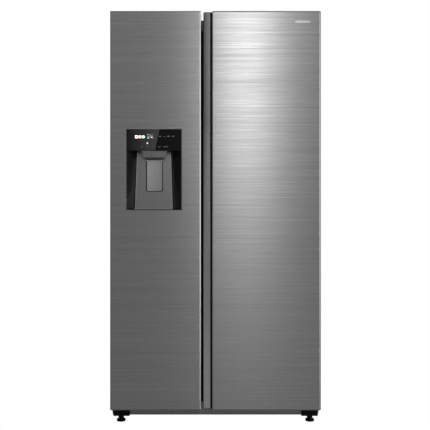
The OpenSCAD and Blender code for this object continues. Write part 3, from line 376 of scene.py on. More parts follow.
# Painted light and shade on the doors' vertical edges, over their last few millimetres: a painted shade on
# the hinged edges, a painted highlight on the freezer door's free edge
OUTER_SHADE_SPAN = (4.8 * MM, 3.8 * MM)       # from a hinged edge: where the tone starts, and where it is full
FREE_HIGHLIGHT_SPAN = (5.0 * MM, 3.0 * MM)        # the same from the freezer door's free edge
freezer_free_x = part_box("freezer_door_skin")[1][0]
freezer_edge_shading = ((LOW[0] + OUTER_SHADE_SPAN[0], LOW[0] + OUTER_SHADE_SPAN[1], 0.17),
                 (freezer_free_x - FREE_HIGHLIGHT_SPAN[0], freezer_free_x - FREE_HIGHLIGHT_SPAN[1], 0.96))
fridge_edge_shading = ((HIGH[0] - OUTER_SHADE_SPAN[0], HIGH[0] - OUTER_SHADE_SPAN[1], 0.15),)
dress(frame["nodes"]["freezer_door_skin"], brushed_steel("steel_freezer", STEEL, edges=freezer_edge_shading))
dress(frame["nodes"]["fridge_door_skin"], brushed_steel("steel_fridge", STEEL, edges=fridge_edge_shading))
dress(frame["nodes"]["bottom_hinges"],
      painted("hinge_paint", (0.005, 0.005, 0.0055), rough=0.5, Specular_IOR_Level=0.2))


# ---------------------------------------------------------------- mesh helpers
def corners(node):
    """Low and high corner of a CAD node's box."""
    low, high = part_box(node)
    return Vector(low), Vector(high)


def islands(node):
    """Boxes of the separate solids of a CAD node, from the lowest up."""
    bm = bmesh.new()
    bm.from_mesh(frame["nodes"][node].data)
    bmesh.ops.remove_doubles(bm, verts=bm.verts, dist=0.01 * MM)
    seen, found = set(), []
    for start in bm.verts:
        if start in seen:
            continue
        group, stack = [], [start]
        seen.add(start)
        while stack:
            v = stack.pop()
            group.append(v.co.copy())
            for edge in v.link_edges:
                other = edge.other_vert(v)
                if other not in seen:
                    seen.add(other)
                    stack.append(other)
        found.append((Vector([min(c[i] for c in group) for i in range(3)]),
                      Vector([max(c[i] for c in group) for i in range(3)])))
    bm.free()
    return sorted(found, key=lambda b: (round(b[0].z, 4), b[0].x))


def place(obj, body, stands_for=()):
    """Puts a new object in the scene, riding on a body, and hides the CAD nodes it stands for."""
    bpy.context.scene.collection.objects.link(obj)
    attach(obj, body)
    for node in stands_for:
        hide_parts(node)
    return obj


def solid(name, bm, material, body, stands_for=(), sharp=38):
    """Turns a bmesh into a smooth shaded piece with its hard edges kept."""
    bmesh.ops.recalc_face_normals(bm, faces=bm.faces)
    for face in bm.faces:
        face.smooth = True
    mesh = bpy.data.meshes.new(name)
    bm.to_mesh(mesh)
    bm.free()
    mesh.set_sharp_from_angle(angle=math.radians(sharp))
    mesh.materials.append(material)
    return place(bpy.data.objects.new(name, mesh), body, stands_for)


def rounded_box(bm, low, high, radius):
    """Box between two corners, with all its edges rounded."""
    verts = bmesh.ops.create_cube(bm, size=1.0)["verts"]
    low, high = Vector(low), Vector(high)
    for v in verts:
        v.co = Vector([low[i] + (v.co[i] + 0.5) * (high[i] - low[i]) for i in range(3)])
    edges = list({edge for v in verts for edge in v.link_edges})
    bmesh.ops.bevel(bm, geom=edges, offset=radius, segments=2, profile=0.5, affect="EDGES")


def prism(bm, outline, axis, low, high):
    """Closed outline swept along an axis. Its points give the other two axes in order."""
    rings = []
    for level in (low, high):
        ring = []
        for a, b in outline:
            co = {"X": (level, a, b), "Y": (a, level, b), "Z": (a, b, level)}[axis]
            ring.append(bm.verts.new(co))
        rings.append(ring)
    count = len(outline)
    for i in range(count):
        j = (i + 1) % count
        bm.faces.new((rings[0][i], rings[0][j], rings[1][j], rings[1][i]))
    for ring in rings:
        bm.faces.new(ring)


def fillet(points, radii, steps):
    """Open path with its inner corners rounded."""
    points = [Vector(p) for p in points]
    path = [points[0]]
    for before, corner, after, radius in zip(points, points[1:], points[2:], radii):
        back, on = (before - corner).normalized(), (after - corner).normalized()
        half = back.angle(on) / 2
        centre = corner + (back + on).normalized() * radius / math.sin(half)
        start = corner + back * radius / math.tan(half) - centre
        end = corner + on * radius / math.tan(half) - centre
        sweep = start.angle(end)
        for k in range(steps + 1):
            t = k / steps
            spoke = start * math.sin((1 - t) * sweep) + end * math.sin(t * sweep)
            path.append(centre + spoke / math.sin(sweep))
    path.append(points[-1])
    return path


def ribbon(path, thickness):
    """Closed outline of a bent sheet: the path, and its offset to the right of travel."""
    offset = []
    for i, point in enumerate(path):
        ahead = (path[min(i + 1, len(path) - 1)] - point)
        behind = (point - path[max(i - 1, 0)])
        way = ((ahead.normalized() if ahead.length else behind.normalized())
               + (behind.normalized() if behind.length else ahead.normalized())).normalized()
        offset.append(point + Vector((way.y, -way.x)) * thickness)
    return list(path) + offset[::-1]


def lathe(bm, profile, centre, axis, steps):
    """Closed solid of revolution. The profile gives (radius, distance along the axis)."""
    centre, axis = Vector(centre), Vector(axis).normalized()
    side = axis.orthogonal().normalized()
    other = axis.cross(side)
    rings = []
    for radius, along in profile:
        if radius < 1e-7:
            rings.append([bm.verts.new(centre + axis * along)])
            continue
        ring = []
        for i in range(steps):
            a = 2 * math.pi * i / steps
            spoke = side * math.cos(a) + other * math.sin(a)
            ring.append(bm.verts.new(centre + axis * along + spoke * radius))
        rings.append(ring)
    for low, high in zip(rings, rings[1:]):
        for i in range(steps):
            j = (i + 1) % steps
            quad = [low[i % len(low)], low[j % len(low)], high[j % len(high)], high[i % len(high)]]
            bm.faces.new(list(dict.fromkeys(quad)))


def screw(bm, centre, axis, radius=4.2 * MM, rise=1.8 * MM):
    """Pan head with a socket."""
    lathe(bm, [(0, -0.6 * MM), (radius, -0.6 * MM), (radius, 0.3 * rise), (radius * 0.86, rise * 0.8),
               (radius * 0.5, rise), (radius * 0.34, rise), (radius * 0.3, rise * 0.3), (0, rise * 0.3)],
          centre, axis, steps=18)


def frame_sweep(bm, low, high, depth, profile):
    """Closed profile of (inset, depth) carried round a rectangle in X and Z with mitred corners."""
    rings = []
    for sx, sz in ((0, 0), (1, 0), (1, 1), (0, 1)):
        ring = []
        for inset, along in profile:
            x = high[0] - inset if sx else low[0] + inset
            z = high[1] - inset if sz else low[1] + inset
            ring.append(bm.verts.new((x, depth + along, z)))
        rings.append(ring)
    count = len(profile)
    for k in range(4):
        a, b = rings[k], rings[(k + 1) % 4]
        for i in range(count):
            j = (i + 1) % count
            bm.faces.new((a[i], a[j], b[j], b[i]))


def plate(name, loops, thickness, edge, matrix, material, body):
    """Flat plate from closed loops in its own plane, later loops being holes, with rounded edges."""
    curve = bpy.data.curves.new(name, "CURVE")
    curve.dimensions = "2D"
    curve.fill_mode = "BOTH"
    for loop in loops:
        spline = curve.splines.new("POLY")
        spline.points.add(len(loop) - 1)
        for point, co in zip(spline.points, loop):
            point.co = (co[0], co[1], 0, 1)
        spline.use_cyclic_u = True
    curve.bevel_depth = edge
    curve.bevel_resolution = 2
    curve.offset = -edge
    curve.extrude = max(thickness / 2 - edge, 0)
    curve.materials.append(material)
    obj = bpy.data.objects.new(name, curve)
    obj.matrix_world = matrix
    return place(obj, body)


def facing(x, y, z, lean=0.0):
    """Matrix of a plate whose own X and Y run right and up on a face seen from the front."""
    return Matrix.Translation((x, y, z)) @ Matrix.Rotation(math.radians(90) + lean, 4, "X")


def rounded_loop(x0, z0, x1, z1, radius, square_top=False):
    """Counterclockwise rectangle with rounded corners."""
    loop, steps = [], 6
    spots = ((x0, z0, 180), (x1, z0, 270), (x1, z1, 0), (x0, z1, 90))
    for cx, cz, start in spots:
        if square_top and cz == z1:
            loop.append((cx, cz))
            continue
        mx = cx + (radius if cx == x0 else -radius)
        mz = cz + (radius if cz == z0 else -radius)
        for k in range(steps + 1):
            a = math.radians(start + 90 * k / steps)
            loop.append((mx + radius * math.cos(a), mz + radius * math.sin(a)))
    return loop


# ---------------------------------------------------------------- grip between the doors
STRIP_SETBACK = 20 * MM     # from the fridge door's face back to the bright strip
STRIP_WIDTH = 29.5 * MM
STRIP_RETURN = 14 * MM      # how far the strip's right edge turns back into the slot
STRIP_SHEET = 1.2 * MM
SLOT_SETBACK = 4 * MM       # from the door's face back to the slot's own edge
SLOT_DEPTH = 12.2 * MM      # from the strip back to the slot's bottom
SLOT_LAP = 1.6 * MM         # how far the slot's bottom runs in behind the strip
SLOT_COVER = 2.6 * MM       # from the skin's free edge to where the slot's wall ends behind it
SLOT_SHEET = 1.8 * MM


def make_grip():
    """Bright bent strip at the fridge door's free edge, with the dark finger slot behind it."""
    low, high = corners("fridge_door_handle")
    skin = corners("fridge_door_skin")[0]
    strip_y = skin.y + STRIP_SETBACK
    strip_x = low.x + STRIP_WIDTH
    path = fillet([(low.x, high.y), (low.x, strip_y), (strip_x, strip_y),
                   (strip_x, strip_y + STRIP_RETURN)], (3.2 * MM, 2 * MM), steps=6)
    bm = bmesh.new()
    prism(bm, ribbon(path, STRIP_SHEET), "Z", low.z, high.z)
    solid("grip_strip", bm, SLOT_MATERIAL["grip_steel"], "fridge_door",
          ("fridge_door_handle",))
    wall_x, bottom_y, edge_y = high.x - 0.2 * MM, strip_y + SLOT_DEPTH, skin.y + SLOT_SETBACK
    path = fillet([(strip_x - SLOT_LAP, bottom_y), (wall_x, bottom_y), (wall_x, edge_y),
                   (skin.x + SLOT_COVER, edge_y)], (3 * MM, 2.5 * MM), steps=5)
    bm = bmesh.new()
    prism(bm, ribbon(path, SLOT_SHEET), "Z", low.z, high.z)
    solid("grip_pocket", bm, SLOT_MATERIAL["grip_dark"], "fridge_door")


# ---------------------------------------------------------------- dispenser panel
# The panel's left part carries a painted reflection, lighter up to a slanted line that these values place.
REFLECTION_SLANT = 0.213          # slope of the line between the panel's two tones: its way right over its way up
REFLECTION_BORDER = 0.52          # where that line starts on the panel's lower edge, as a share of the width
REFLECTION_BLUR = 0.4 * MM

# Legends, in millimetres across and up from the panel's lower left corner.
# A ring is (x, z, radius, width) and may end with its start and end angle. A bar is (x, z, width, height).
# A frame's outer and inner outline are each (left, low, right, high, corner radius).
ICE_RING, ICE_BAR = (44.5, 57, 6.2, 2.5), (38.5, 57, 3, 12)
CRUSHED_FRAME = ((52.5, 51, 63.5, 63, 3), (55.5, 54, 60.5, 60, 2))
CRUSHED_BAR = (58, 57, 1.6, 3)
WATER_RING, WATER_BAR = (72, 57, 6.2, 2.6), (72, 57, 5, 1.6)
STATE_RINGS = ((93, 53.5, 4.4, 1.3), (93, 63, 4.2, 1.2, 20, 160))
STATE_BARS = ((91.5, 66.5, 1.2, 5), (102, 60, 7, 1.3), (103, 64.5, 5, 1.1), (111.5, 65, 3, 1.2),
              (106.5, 54.6, 4.6, 4.4), (113, 52, 5, 1.1), (111, 56.5, 1.2, 4))
LOCK_SHACKLE = ((85.5, 29.5), (93, 29.5), (89.2, 34.5))
LOCK_BAR = (89.2, 28, 7.5, 1.5)
IDLE_BARS = ((66, 15, 10, 1.4), (89.6, 15, 10, 1.4), (112, 15, 3, 1.4), (140, 15, 12, 1.5),
             (166.6, 15, 19, 1.9), (143, 59, 9, 2.6), (161.5, 58.5, 4, 3), (178.6, 59.5, 10, 3),
             (198.6, 60, 12, 1.6), (197.6, 57, 5, 1.4))


def glow(name, colour, strength):
    """Lit legend seen through the panel, uneven as a diffused lamp is."""
    m = Mat(name, tint(colour, 0.3), 0.4)
    level = m.remap(m.noise(260.0), strength * 0.8, strength * 1.15)
    m.set("Emission Color", (*colour, 1.0))
    m.link(level, m.p.inputs["Emission Strength"])
    return m.m


def panel_black():
    """Black touch panel with a painted reflection: its left part is lighter and brightens towards a slanted
    line, where it meets the plain black.
    """
    m = Mat("panel_painted_reflection", (0.004, 0.004, 0.005), 0.16, 0.0, Coat_Weight=0.25, Coat_Roughness=0.05,
            Specular_IOR_Level=0.13)
    low, high = corners("dispenser_panel")
    lean = m.math("MULTIPLY_ADD", m.along("Z"), -REFLECTION_SLANT, REFLECTION_SLANT * low.z)
    place_x = m.math("ADD", m.along("X"), lean)
    border = low.x + REFLECTION_BORDER * (high.x - low.x)
    reflection_side = m.remap(place_x, 1.0, 0.0, border - REFLECTION_BLUR, border + REFLECTION_BLUR)
    # painted reflection: lighter towards the slanted line on the left part
    level = m.remap(m.along("X"), 0.010, 0.085, low.x + 10 * MM, border + 12 * MM)
    reflection_lift = m.math("MULTIPLY", reflection_side, level)
    m.grey(m.math("ADD", reflection_lift, m.remap(m.noise(30.0, detail=5.0), 0.001, 0.0025)))
    m.rough(m.remap(m.noise(26.0, (1, 1, 0.3), detail=6.0, rough=0.7), 0.1, 0.2))
    return m.m


def ring_loops(cx, cz, radius, width, start=0, end=360):
    """Outline of a full or part ring."""
    outer, inner, steps = [], [], 20
    for k in range(steps + 1):
        a = math.radians(start + (end - start) * k / steps)
        outer.append((cx + radius * math.cos(a), cz + radius * math.sin(a)))
        inner.append((cx + (radius - width) * math.cos(a), cz + (radius - width) * math.sin(a)))
    if end - start >= 360:
        return [outer[:-1], inner[:-1][::-1]]
    return [outer + inner[::-1]]


def bar_loop(x, z, width, height):
    """Outline of a plain bar around its middle."""
    return [(x - width / 2, z - height / 2), (x + width / 2, z - height / 2),
            (x + width / 2, z + height / 2), (x - width / 2, z + height / 2)]


def make_panel():
    """Face of the touch panel with its painted reflection, and its lit and idle legends."""
    low = corners("dispenser_panel")[0]
    dress(frame["nodes"]["dispenser_panel"], panel_black())
    base = facing(low.x, low.y - 0.03 * MM, low.z)

    def legend(name, loops, colour, strength):
        plate(name, [[(x * MM, z * MM) for x, z in loop] for loop in loops], 0.1 * MM, 0.02 * MM, base,
              glow(name, colour, strength), "freezer_door")

    outer, inner = [rounded_loop(*side) for side in CRUSHED_FRAME]
    rings = [loop for ring in STATE_RINGS for loop in ring_loops(*ring)]
    legend("legend_ice", ring_loops(*ICE_RING) + [bar_loop(*ICE_BAR)], (1.0, 0.86, 0.9), 2.6)
    legend("legend_crushed", [outer, inner[::-1], bar_loop(*CRUSHED_BAR)], (0.9, 0.52, 0.33), 2.3)
    legend("legend_water", ring_loops(*WATER_RING) + [bar_loop(*WATER_BAR)], (0.42, 0.78, 0.9), 2.4)
    legend("legend_state", rings + [bar_loop(*bar) for bar in STATE_BARS], (0.86, 0.88, 0.86), 1.15)
    legend("legend_lock", [LOCK_SHACKLE, bar_loop(*LOCK_BAR)], (0.92, 0.95, 0.96), 1.1)
    legend("legend_idle", [bar_loop(*bar) for bar in IDLE_BARS], (0.7, 0.72, 0.74), 0.075)


# ---------------------------------------------------------------- dispenser alcove
# Section of the rim, in millimetres: (in from its outer edge, back from the doors' front)
RIM_PROFILE = ((0.1, 1.0), (0.3, 0.35), (1.0, 0.08), (3.2, 0.08), (3.8, 0.3), (3.95, 1.6), (2.0, 1.3))
RIM_HEADROOM = 4.2 * MM             # above the panel
PLATE_FOOT = 81.6 * MM              # half widths of the tapered back plate
PLATE_HEAD = 72.8 * MM
PLATE_SHEET = 3.2 * MM
PLATE_LEAN = math.atan2(10, 250)    # back plate's lean, as an angle off upright
WINDOW_LAP = 1.1 * MM               # how far the back plate covers the paddle at each side
WINDOW_FOOT, WINDOW_HEAD = 3.4 * MM, 0.9 * MM   # how far its window reaches below and above the paddle
# Painted highlights: the back plate's two sides are lighter strips of its satin.
LEFT_HIGHLIGHT, RIGHT_HIGHLIGHT = 4.0 * MM, 2.2 * MM      # widths of the plate's bright edges
# The grey rod down the alcove's right wall is a painted reflection of the back plate's edge in the gloss
# wall.
REFLECTED_FOOT = (33.6 * MM, 36.9 * MM)  # in from the housing's right side, and back from the doors' front
REFLECTED_HEAD = (46.2 * MM, 51.9 * MM)


def make_rim():
    """Rim round the whole opening."""
    low, high = corners("dispenser_housing")
    top = corners("dispenser_panel")[1].z + RIM_HEADROOM
    bm = bmesh.new()
    frame_sweep(bm, (low.x, low.z), (high.x, top), FRONT_Y, [(a * MM, b * MM) for a, b in RIM_PROFILE])
    solid("dispenser_rim", bm, DISPENSER_FINISH["rim"], "freezer_door")


def make_back_plate():
    """Tapered back plate with the window that the paddle shows through, and painted highlights on its sides:
    lighter strips of its own satin.
    """
    tray_low, tray_high = corners("dispenser_tray")
    paddle_low, paddle_high = corners("dispenser_paddle")
    centre = (tray_low.x + tray_high.x) / 2
    foot_z, head_z = tray_low.z + 0.4 * MM, corners("dispenser_spout")[1].z
    plate_y = tray_high.y - 1.4 * MM
    length = (head_z - foot_z) / math.cos(PLATE_LEAN)
    window = rounded_loop(paddle_low.x + WINDOW_LAP - centre, paddle_low.z - WINDOW_FOOT - foot_z,
                          paddle_high.x - WINDOW_LAP - centre, paddle_high.z + WINDOW_HEAD - foot_z,
                          8 * MM, square_top=True)
    outline = [(-PLATE_FOOT, 0), (PLATE_FOOT, 0), (PLATE_HEAD, length), (-PLATE_HEAD, length)]
    plate("alcove_plate", [outline, window[::-1]], PLATE_SHEET, 1.3 * MM,
          facing(centre, plate_y, foot_z, lean=-PLATE_LEAN),
          DISPENSER_FINISH["back"], "freezer_door")
    # painted highlights: lighter strips over the plate's two sides
    left = [(-PLATE_FOOT, 0), (LEFT_HIGHLIGHT - PLATE_FOOT, 0),
            (LEFT_HIGHLIGHT - PLATE_HEAD, length), (-PLATE_HEAD, length)]
    right = [(PLATE_FOOT - RIGHT_HIGHLIGHT, 0), (PLATE_FOOT, 0),
             (PLATE_HEAD, length), (PLATE_HEAD - RIGHT_HIGHLIGHT, length)]
    plate("alcove_painted_highlights", [left, right], 0.8 * MM, 0.3 * MM,
          facing(centre, plate_y - 1.7 * MM, foot_z, lean=-PLATE_LEAN),
          DISPENSER_FINISH["back_highlights"], "freezer_door")


def make_edge_reflection():
    """Grey rod down the alcove's right wall: a painted reflection, standing in for the back plate's edge
    mirrored in the gloss wall.
    """
    right_x = corners("dispenser_housing")[1].x
    foot_z = corners("dispenser_tray")[0].z + 1.5 * MM
    head_z = corners("dispenser_spout")[1].z - 1.5 * MM
    edge_reflection = bpy.data.curves.new("alcove_edge_reflection", "CURVE")
    edge_reflection.dimensions = "3D"
    edge_reflection.bevel_depth = 1.2 * MM
    edge_reflection.bevel_resolution = 3
    line = edge_reflection.splines.new("POLY")
    line.points.add(1)
    for point, (inward, back), z in zip(line.points, (REFLECTED_FOOT, REFLECTED_HEAD), (foot_z, head_z)):
        point.co = (right_x - inward, FRONT_Y + back, z, 1)
    edge_reflection.materials.append(DISPENSER_FINISH["edge_reflection"])
    place(bpy.data.objects.new("alcove_edge_reflection", edge_reflection), "freezer_door")


# ---------------------------------------------------------------- seals
SEAL_DEPTH = 10.6
# Section of a door seal, in millimetres: (in from its outer edge, back from the door).
# Its waists are the bellows.
SEAL_PROFILE = ((0, 0), (16, 0), (16, 2.6), (13.6, 3.8), (11.2, 4.8), (13.4, 6.0), (14.2, 7.4), (14.0, 9.6),
                (12.6, SEAL_DEPTH), (3.6, SEAL_DEPTH), (2.2, 9.6), (2.0, 7.6), (3.4, 6.2), (1.4, 5.0),
                (2.6, 3.9), (0.6, 3.0))


def make_gaskets():
    """Bellows seal round each door, as deep as its CAD node."""
    for door in ("freezer_door", "fridge_door"):
        node = door + "_gasket"
        low, high = corners(node)
        scale = (high.y - low.y) / (SEAL_DEPTH * MM)
        bm = bmesh.new()
        frame_sweep(bm, (low.x, low.z), (high.x, high.z), low.y,
                    [(a * MM, b * MM * scale) for a, b in SEAL_PROFILE])
        solid(door + "_seal", bm, SLOT_MATERIAL["gasket_rubber"], door, (node,))


# ---------------------------------------------------------------- interior
SHELF_TRIM = 12 * MM        # width of the moulding at a shelf's sides and back
TRIM_ROUND = 1.2 * MM
GLASS_INSET = 9 * MM        # from a shelf's sides and back in to its glass
GLASS_SHEET = 4 * MM
NOSE_DEPTH = 14 * MM        # of the moulding along a shelf's front
GRIP_MARGIN = 36 * MM       # from a drawer's sides to its grip rail
GRIP_SHEET = 1.6 * MM
DAIRY_HEIGHT = 110 * MM     # of all the door bins only the dairy case is taller


def make_shelves():
    """Glass plates in moulded frames, with a nose along the front."""
    for node, tag in (("freezer_shelves", "freezer"), ("fridge_shelves", "fridge")):
        glass, trim = bmesh.new(), bmesh.new()
        for low, high in islands(node):
            base = low.z + 6 * MM
            glass_z = base + 1.2 * MM
            rounded_box(glass, (low.x + GLASS_INSET, low.y + 10 * MM, glass_z),
                        (high.x - GLASS_INSET, high.y - GLASS_INSET, glass_z + GLASS_SHEET), 0.8 * MM)
            for x in (low.x, high.x - SHELF_TRIM):
                rounded_box(trim, (x, low.y + 6 * MM, base), (x + SHELF_TRIM, high.y, base + 6 * MM),
                            TRIM_ROUND)
            rounded_box(trim, (low.x, high.y - SHELF_TRIM, base), (high.x, high.y, base + 9 * MM),
                        TRIM_ROUND)
            nose = fillet([(low.y + NOSE_DEPTH, base), (low.y, base - 6 * MM), (low.y, high.z),
                           (low.y + NOSE_DEPTH, base + 6.2 * MM)], (3 * MM, 3 * MM), steps=4)
            prism(trim, [(p.x, p.y) for p in nose], "X", low.x, high.x)
        solid(tag + "_glass", glass, SLOT_MATERIAL["shelf_glass"], "cabinet", (node,))
        solid(tag + "_trims", trim, SLOT_MATERIAL["white_plastic"], "cabinet")


def make_drawer_grips():
    """White grip rail hooked over each drawer's front edge."""
    for node in ("freezer_drawer_lower", "freezer_drawer_upper", "crisper_lower", "crisper_upper"):
        low, high = corners(node)
        front_y, top_z = low.y - 0.5 * MM, high.z - 7.2 * MM
        path = fillet([(front_y + 12.1 * MM, top_z), (front_y, top_z), (front_y, top_z - 14.8 * MM)],
                      (4 * MM,), steps=6)
        bm = bmesh.new()
        section = [(p.x, p.y) for p in ribbon(path, -GRIP_SHEET)]
        prism(bm, section, "X", low.x + GRIP_MARGIN, high.x - GRIP_MARGIN)
        solid(node + "_grip", bm, SLOT_MATERIAL["white_plastic"], BODY_OF[node])


def make_bin_strips():
    """Bright strip along the rim of each door bin, but not on the dairy case."""
    for node in ("freezer_door_bins", "fridge_door_bins"):
        bm = bmesh.new()
        for low, high in islands(node):
            if high.z - low.z < DAIRY_HEIGHT:
                rounded_box(bm, (low.x + 3 * MM, high.y - 0.6 * MM, high.z - 10 * MM),
                            (high.x - 3 * MM, high.y + 0.8 * MM, high.z - 2 * MM), 0.6 * MM)
        solid(node + "_trim", bm, SLOT_MATERIAL["badge_metal"], BODY_OF[node])


# ---------------------------------------------------------------- fixings
COVER_SCREW_X = (-430, -250, -60, 120, 330, 430)        # along both edges of the rear cover
TOP_SCREW_X = (-436, -300, -150, 0, 150, 300, 436)      # along the back panel's upper edge
SIDE_SCREW_X = (-436, 436)                              # up both of its sides
SIDE_SCREW_Z = range(330, 1700, 190)
BOARD_SCREW_X = (-112, 112)                             # on the raised cover of the control board
BOARD_SCREW_Z = (1428, 1510, 1592)
BACKWARDS, UPWARDS = (0, 1, 0), (0, 0, 1)


def make_screws():
    """Fixings on the rear panels and over the upper hinges."""
    bm = bmesh.new()
    low, high = corners("rear_cover")
    for x in COVER_SCREW_X:
        for z in (high.z - 8 * MM, low.z + 8 * MM):
            screw(bm, (x * MM, low.y + 1.5 * MM, z), BACKWARDS)
    shell = corners("cabinet_shell")[1]
    for x in TOP_SCREW_X:
        screw(bm, (x * MM, shell.y, shell.z - 9 * MM), BACKWARDS)
    for z in SIDE_SCREW_Z:
        for x in SIDE_SCREW_X:
            screw(bm, (x * MM, shell.y, z * MM), BACKWARDS)
    for x in BOARD_SCREW_X:
        for z in BOARD_SCREW_Z:
            screw(bm, (x * MM, shell.y + 1.2 * MM, z * MM), BACKWARDS, 3.4 * MM)
    solid("panel_screws", bm, SLOT_MATERIAL["zinc_steel"], "cabinet")
    bm = bmesh.new()
    for low, high in islands("hinge_covers"):
        spot = ((low.x + high.x) / 2, high.y - 22 * MM, high.z - 1.2 * MM)
        screw(bm, spot, UPWARDS, 4.5 * MM, 1.2 * MM)
    solid("cover_screws", bm, SLOT_MATERIAL["zinc_steel"], "cabinet")


THREAD_TURNS = 6
THREAD_PITCH = 1.9 * MM
THREAD_START = 1.5 * MM     # in from the spigot's mouth
# Section of the thread, in millimetres: (radius, place along the spigot)
THREAD_PROFILE = ((13.1, -0.7), (13.9, 0.0), (13.1, 0.7))
INLET_Z = 200 * MM


def make_thread():
    """Rolled hose thread on the water inlet."""
    low, high = corners("water_valve")
    centre_x = (low.x + high.x) / 2
    steps = 24
    rows = []
    bm = bmesh.new()
    for k in range(THREAD_TURNS * steps + 1):
        a = 2 * math.pi * k / steps
        mid_y = high.y - THREAD_START - THREAD_PITCH * k / steps
        row = []
        for radius, shift in THREAD_PROFILE:
            row.append(bm.verts.new((centre_x + radius * MM * math.cos(a), mid_y + shift * MM,
                                     INLET_Z + radius * MM * math.sin(a))))
        rows.append(row)
    for a, b in zip(rows, rows[1:]):
        for i in range(2):
            bm.faces.new((a[i], a[i + 1], b[i + 1], b[i]))
    solid("inlet_thread", bm, SLOT_MATERIAL["valve_plastic"], "cabinet", sharp=80)


# ---------------------------------------------------------------- rounded edges
# Width of the rounding on each of these CAD nodes, in millimetres
EDGE_ROUND = {
    "hinge_covers": 3.0, "bottom_hinges": 1.2, "top_hinges": 0.8, "kick_plate": 0.5,
    "freezer_door_caps": 1.0, "fridge_door_caps": 1.0, "freezer_door_handle": 0.5, "badge": 0.35,
    "freezer_drawer_upper": 1.2, "freezer_drawer_lower": 1.2, "crisper_upper": 1.2,
    "crisper_lower": 1.2, "freezer_door_bins": 1.1, "fridge_door_bins": 1.1, "dairy_lid": 0.9,
    "freezer_door_liner": 3.5, "fridge_door_liner": 3.5, "ice_bucket": 1.2, "interior_lights": 2.0,
    "fridge_air_duct": 2.0, "water_filter": 1.5, "drain_pan": 1.0, "rear_cover": 0.3,
    "motors": 0.7, "water_valve": 0.8, "foot_left": 0.5, "foot_right": 0.5}
DISPENSER_ROUND = {"dispenser_spout": 1.2, "dispenser_paddle": 1.4, "dispenser_tray": 0.6}


def round_edges():
    """Breaks the sharp edges of the CAD nodes that show them. The dispenser's have one step more."""
    for node, width in DISPENSER_ROUND.items():
        soften(frame["nodes"][node], width * MM, segments=3)
    soften(frame["nodes"]["dispenser_housing"], 0.5 * MM, angle=50)
    for node, width in EDGE_ROUND.items():
        soften(frame["nodes"][node], width * MM)


make_grip()
make_rim()
make_back_plate()
make_edge_reflection()
make_panel()
make_gaskets()
make_shelves()
make_drawer_grips()
make_bin_strips()
make_screws()
make_thread()
round_edges()


# ---------------------------------------------------------------- camera, lights, floor
EYE_X = -0.002
EYE_HEIGHT = 0.9
EYE_DISTANCE = 3.5          # from the front of the doors
VIEW_WIDTH = 1.823          # width of the view at the front of the doors
SENSOR = 36.0
STRIP_X = 0.285             # where the strip light stands, behind the camera and to its right
FLOOR_HALF = 30.0
FLOOR_GREY = 0.25           # what the floor bounces back up


def make_camera():
    """Camera of the photograph, level and square to the doors."""
    cam = bpy.data.cameras.new("camera")
    cam.sensor_width = SENSOR
    cam.lens = SENSOR * EYE_DISTANCE / VIEW_WIDTH
    obj = bpy.data.objects.new("camera", cam)
    obj.location = (EYE_X, FRONT_Y - EYE_DISTANCE, EYE_HEIGHT)
    obj.rotation_euler = (math.radians(90), 0, 0)
    bpy.context.scene.collection.objects.link(obj)
    bpy.context.scene.camera = obj


def area_light(name, spot, target, size, radiance):
    """Rectangular softbox of a given radiance, aimed at a point."""
    data = bpy.data.lights.new(name, "AREA")
    data.shape = "RECTANGLE"
    data.size, data.size_y = size
    data.energy = radiance * math.pi * size[0] * size[1]
    obj = bpy.data.objects.new(name, data)
    obj.location = spot
    aim = Vector(target) - Vector(spot)
    obj.rotation_euler = aim.to_track_quat("-Z", "Y").to_euler()
    obj.visible_camera = False
    bpy.context.scene.collection.objects.link(obj)


def camera_sees(tree, seen, lit, output):
    """Shows one shader to the camera, and another to all other rays."""
    mix = tree.nodes.new("ShaderNodeMixShader")
    path = tree.nodes.new("ShaderNodeLightPath")
    tree.links.new(path.outputs["Is Camera Ray"], mix.inputs[0])
    tree.links.new(lit.outputs[0], mix.inputs[1])
    tree.links.new(seen.outputs[0], mix.inputs[2])
    tree.links.new(mix.outputs[0], output.inputs["Surface"])


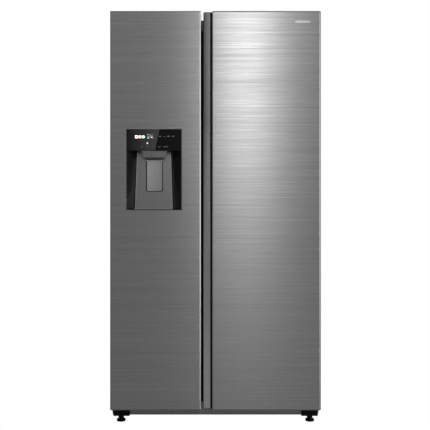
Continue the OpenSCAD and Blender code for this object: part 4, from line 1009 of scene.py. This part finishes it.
def make_world():
    """White to the camera, and a dim grey studio, darker towards the ground, to everything else."""
    world = bpy.data.worlds.new("studio")
    world.use_nodes = True
    t = world.node_tree
    t.nodes.clear()
    seen = t.nodes.new("ShaderNodeBackground")
    seen.inputs["Color"].default_value = (1, 1, 1, 1)
    room = t.nodes.new("ShaderNodeBackground")
    coord = t.nodes.new("ShaderNodeTexCoord")
    split = t.nodes.new("ShaderNodeSeparateXYZ")
    ramp = t.nodes.new("ShaderNodeMapRange")
    for key, value in (("From Min", -0.4), ("From Max", 0.7), ("To Min", 0.27), ("To Max", 0.43)):
        ramp.inputs[key].default_value = value
    t.links.new(coord.outputs["Generated"], split.inputs[0])
    t.links.new(split.outputs["Z"], ramp.inputs["Value"])
    t.links.new(ramp.outputs["Result"], room.inputs["Strength"])
    camera_sees(t, seen, room, t.nodes.new("ShaderNodeOutputWorld"))
    bpy.context.scene.world = world


def make_floor():
    """White to the camera, and a grey that bounces little light up, so that the doors' feet stay dark."""
    mesh = bpy.data.meshes.new("floor")
    r = FLOOR_HALF
    mesh.from_pydata([(-r, -r, 0), (r, -r, 0), (r, r, 0), (-r, r, 0)], [], [(0, 1, 2, 3)])
    floor = bpy.data.objects.new("floor", mesh)
    bpy.context.scene.collection.objects.link(floor)
    material = bpy.data.materials.new("floor")
    material.use_nodes = True
    t = material.node_tree
    t.nodes.clear()
    white = t.nodes.new("ShaderNodeEmission")
    grey = t.nodes.new("ShaderNodeBsdfDiffuse")
    grey.inputs["Color"].default_value = (FLOOR_GREY, FLOOR_GREY, FLOOR_GREY, 1)
    camera_sees(t, white, grey, t.nodes.new("ShaderNodeOutputMaterial"))
    mesh.materials.append(material)


def make_lights():
    """A bright strip and a dim skirt make the streak on the fridge door, and soft boxes fill in the rest."""
    eye_y = FRONT_Y - EYE_DISTANCE
    mid = (0, 0, EYE_HEIGHT)
    area_light("strip", (STRIP_X, eye_y - 0.45, 2.75), (STRIP_X, 0, 2.75), (0.43, 2.6), 3.3)
    area_light("skirt", (0.34, eye_y - 0.55, 2.6), (0.34, 0, 2.6), (1.15, 3.0), 0.32)
    area_light("overhead", (0, 0.2, 5.0), (0, 0.2, 0), (7.0, 7.0), 0.8)
    area_light("left_box", (-4.0, -0.6, 1.6), mid, (2.2, 2.6), 0.4)
    area_light("right_box", (4.0, -0.2, 1.6), mid, (2.2, 2.6), 0.8)
    area_light("corner_box", (2.6, -2.0, 1.4), (0, FRONT_Y, 1.0), (2.0, 2.8), 1.9)
    area_light("rear_box", (0.6, 4.5, 2.0), mid, (3.0, 2.4), 0.8)


bpy.context.scene.view_settings.view_transform = "Standard"
make_camera()
make_world()
make_floor()
make_lights()
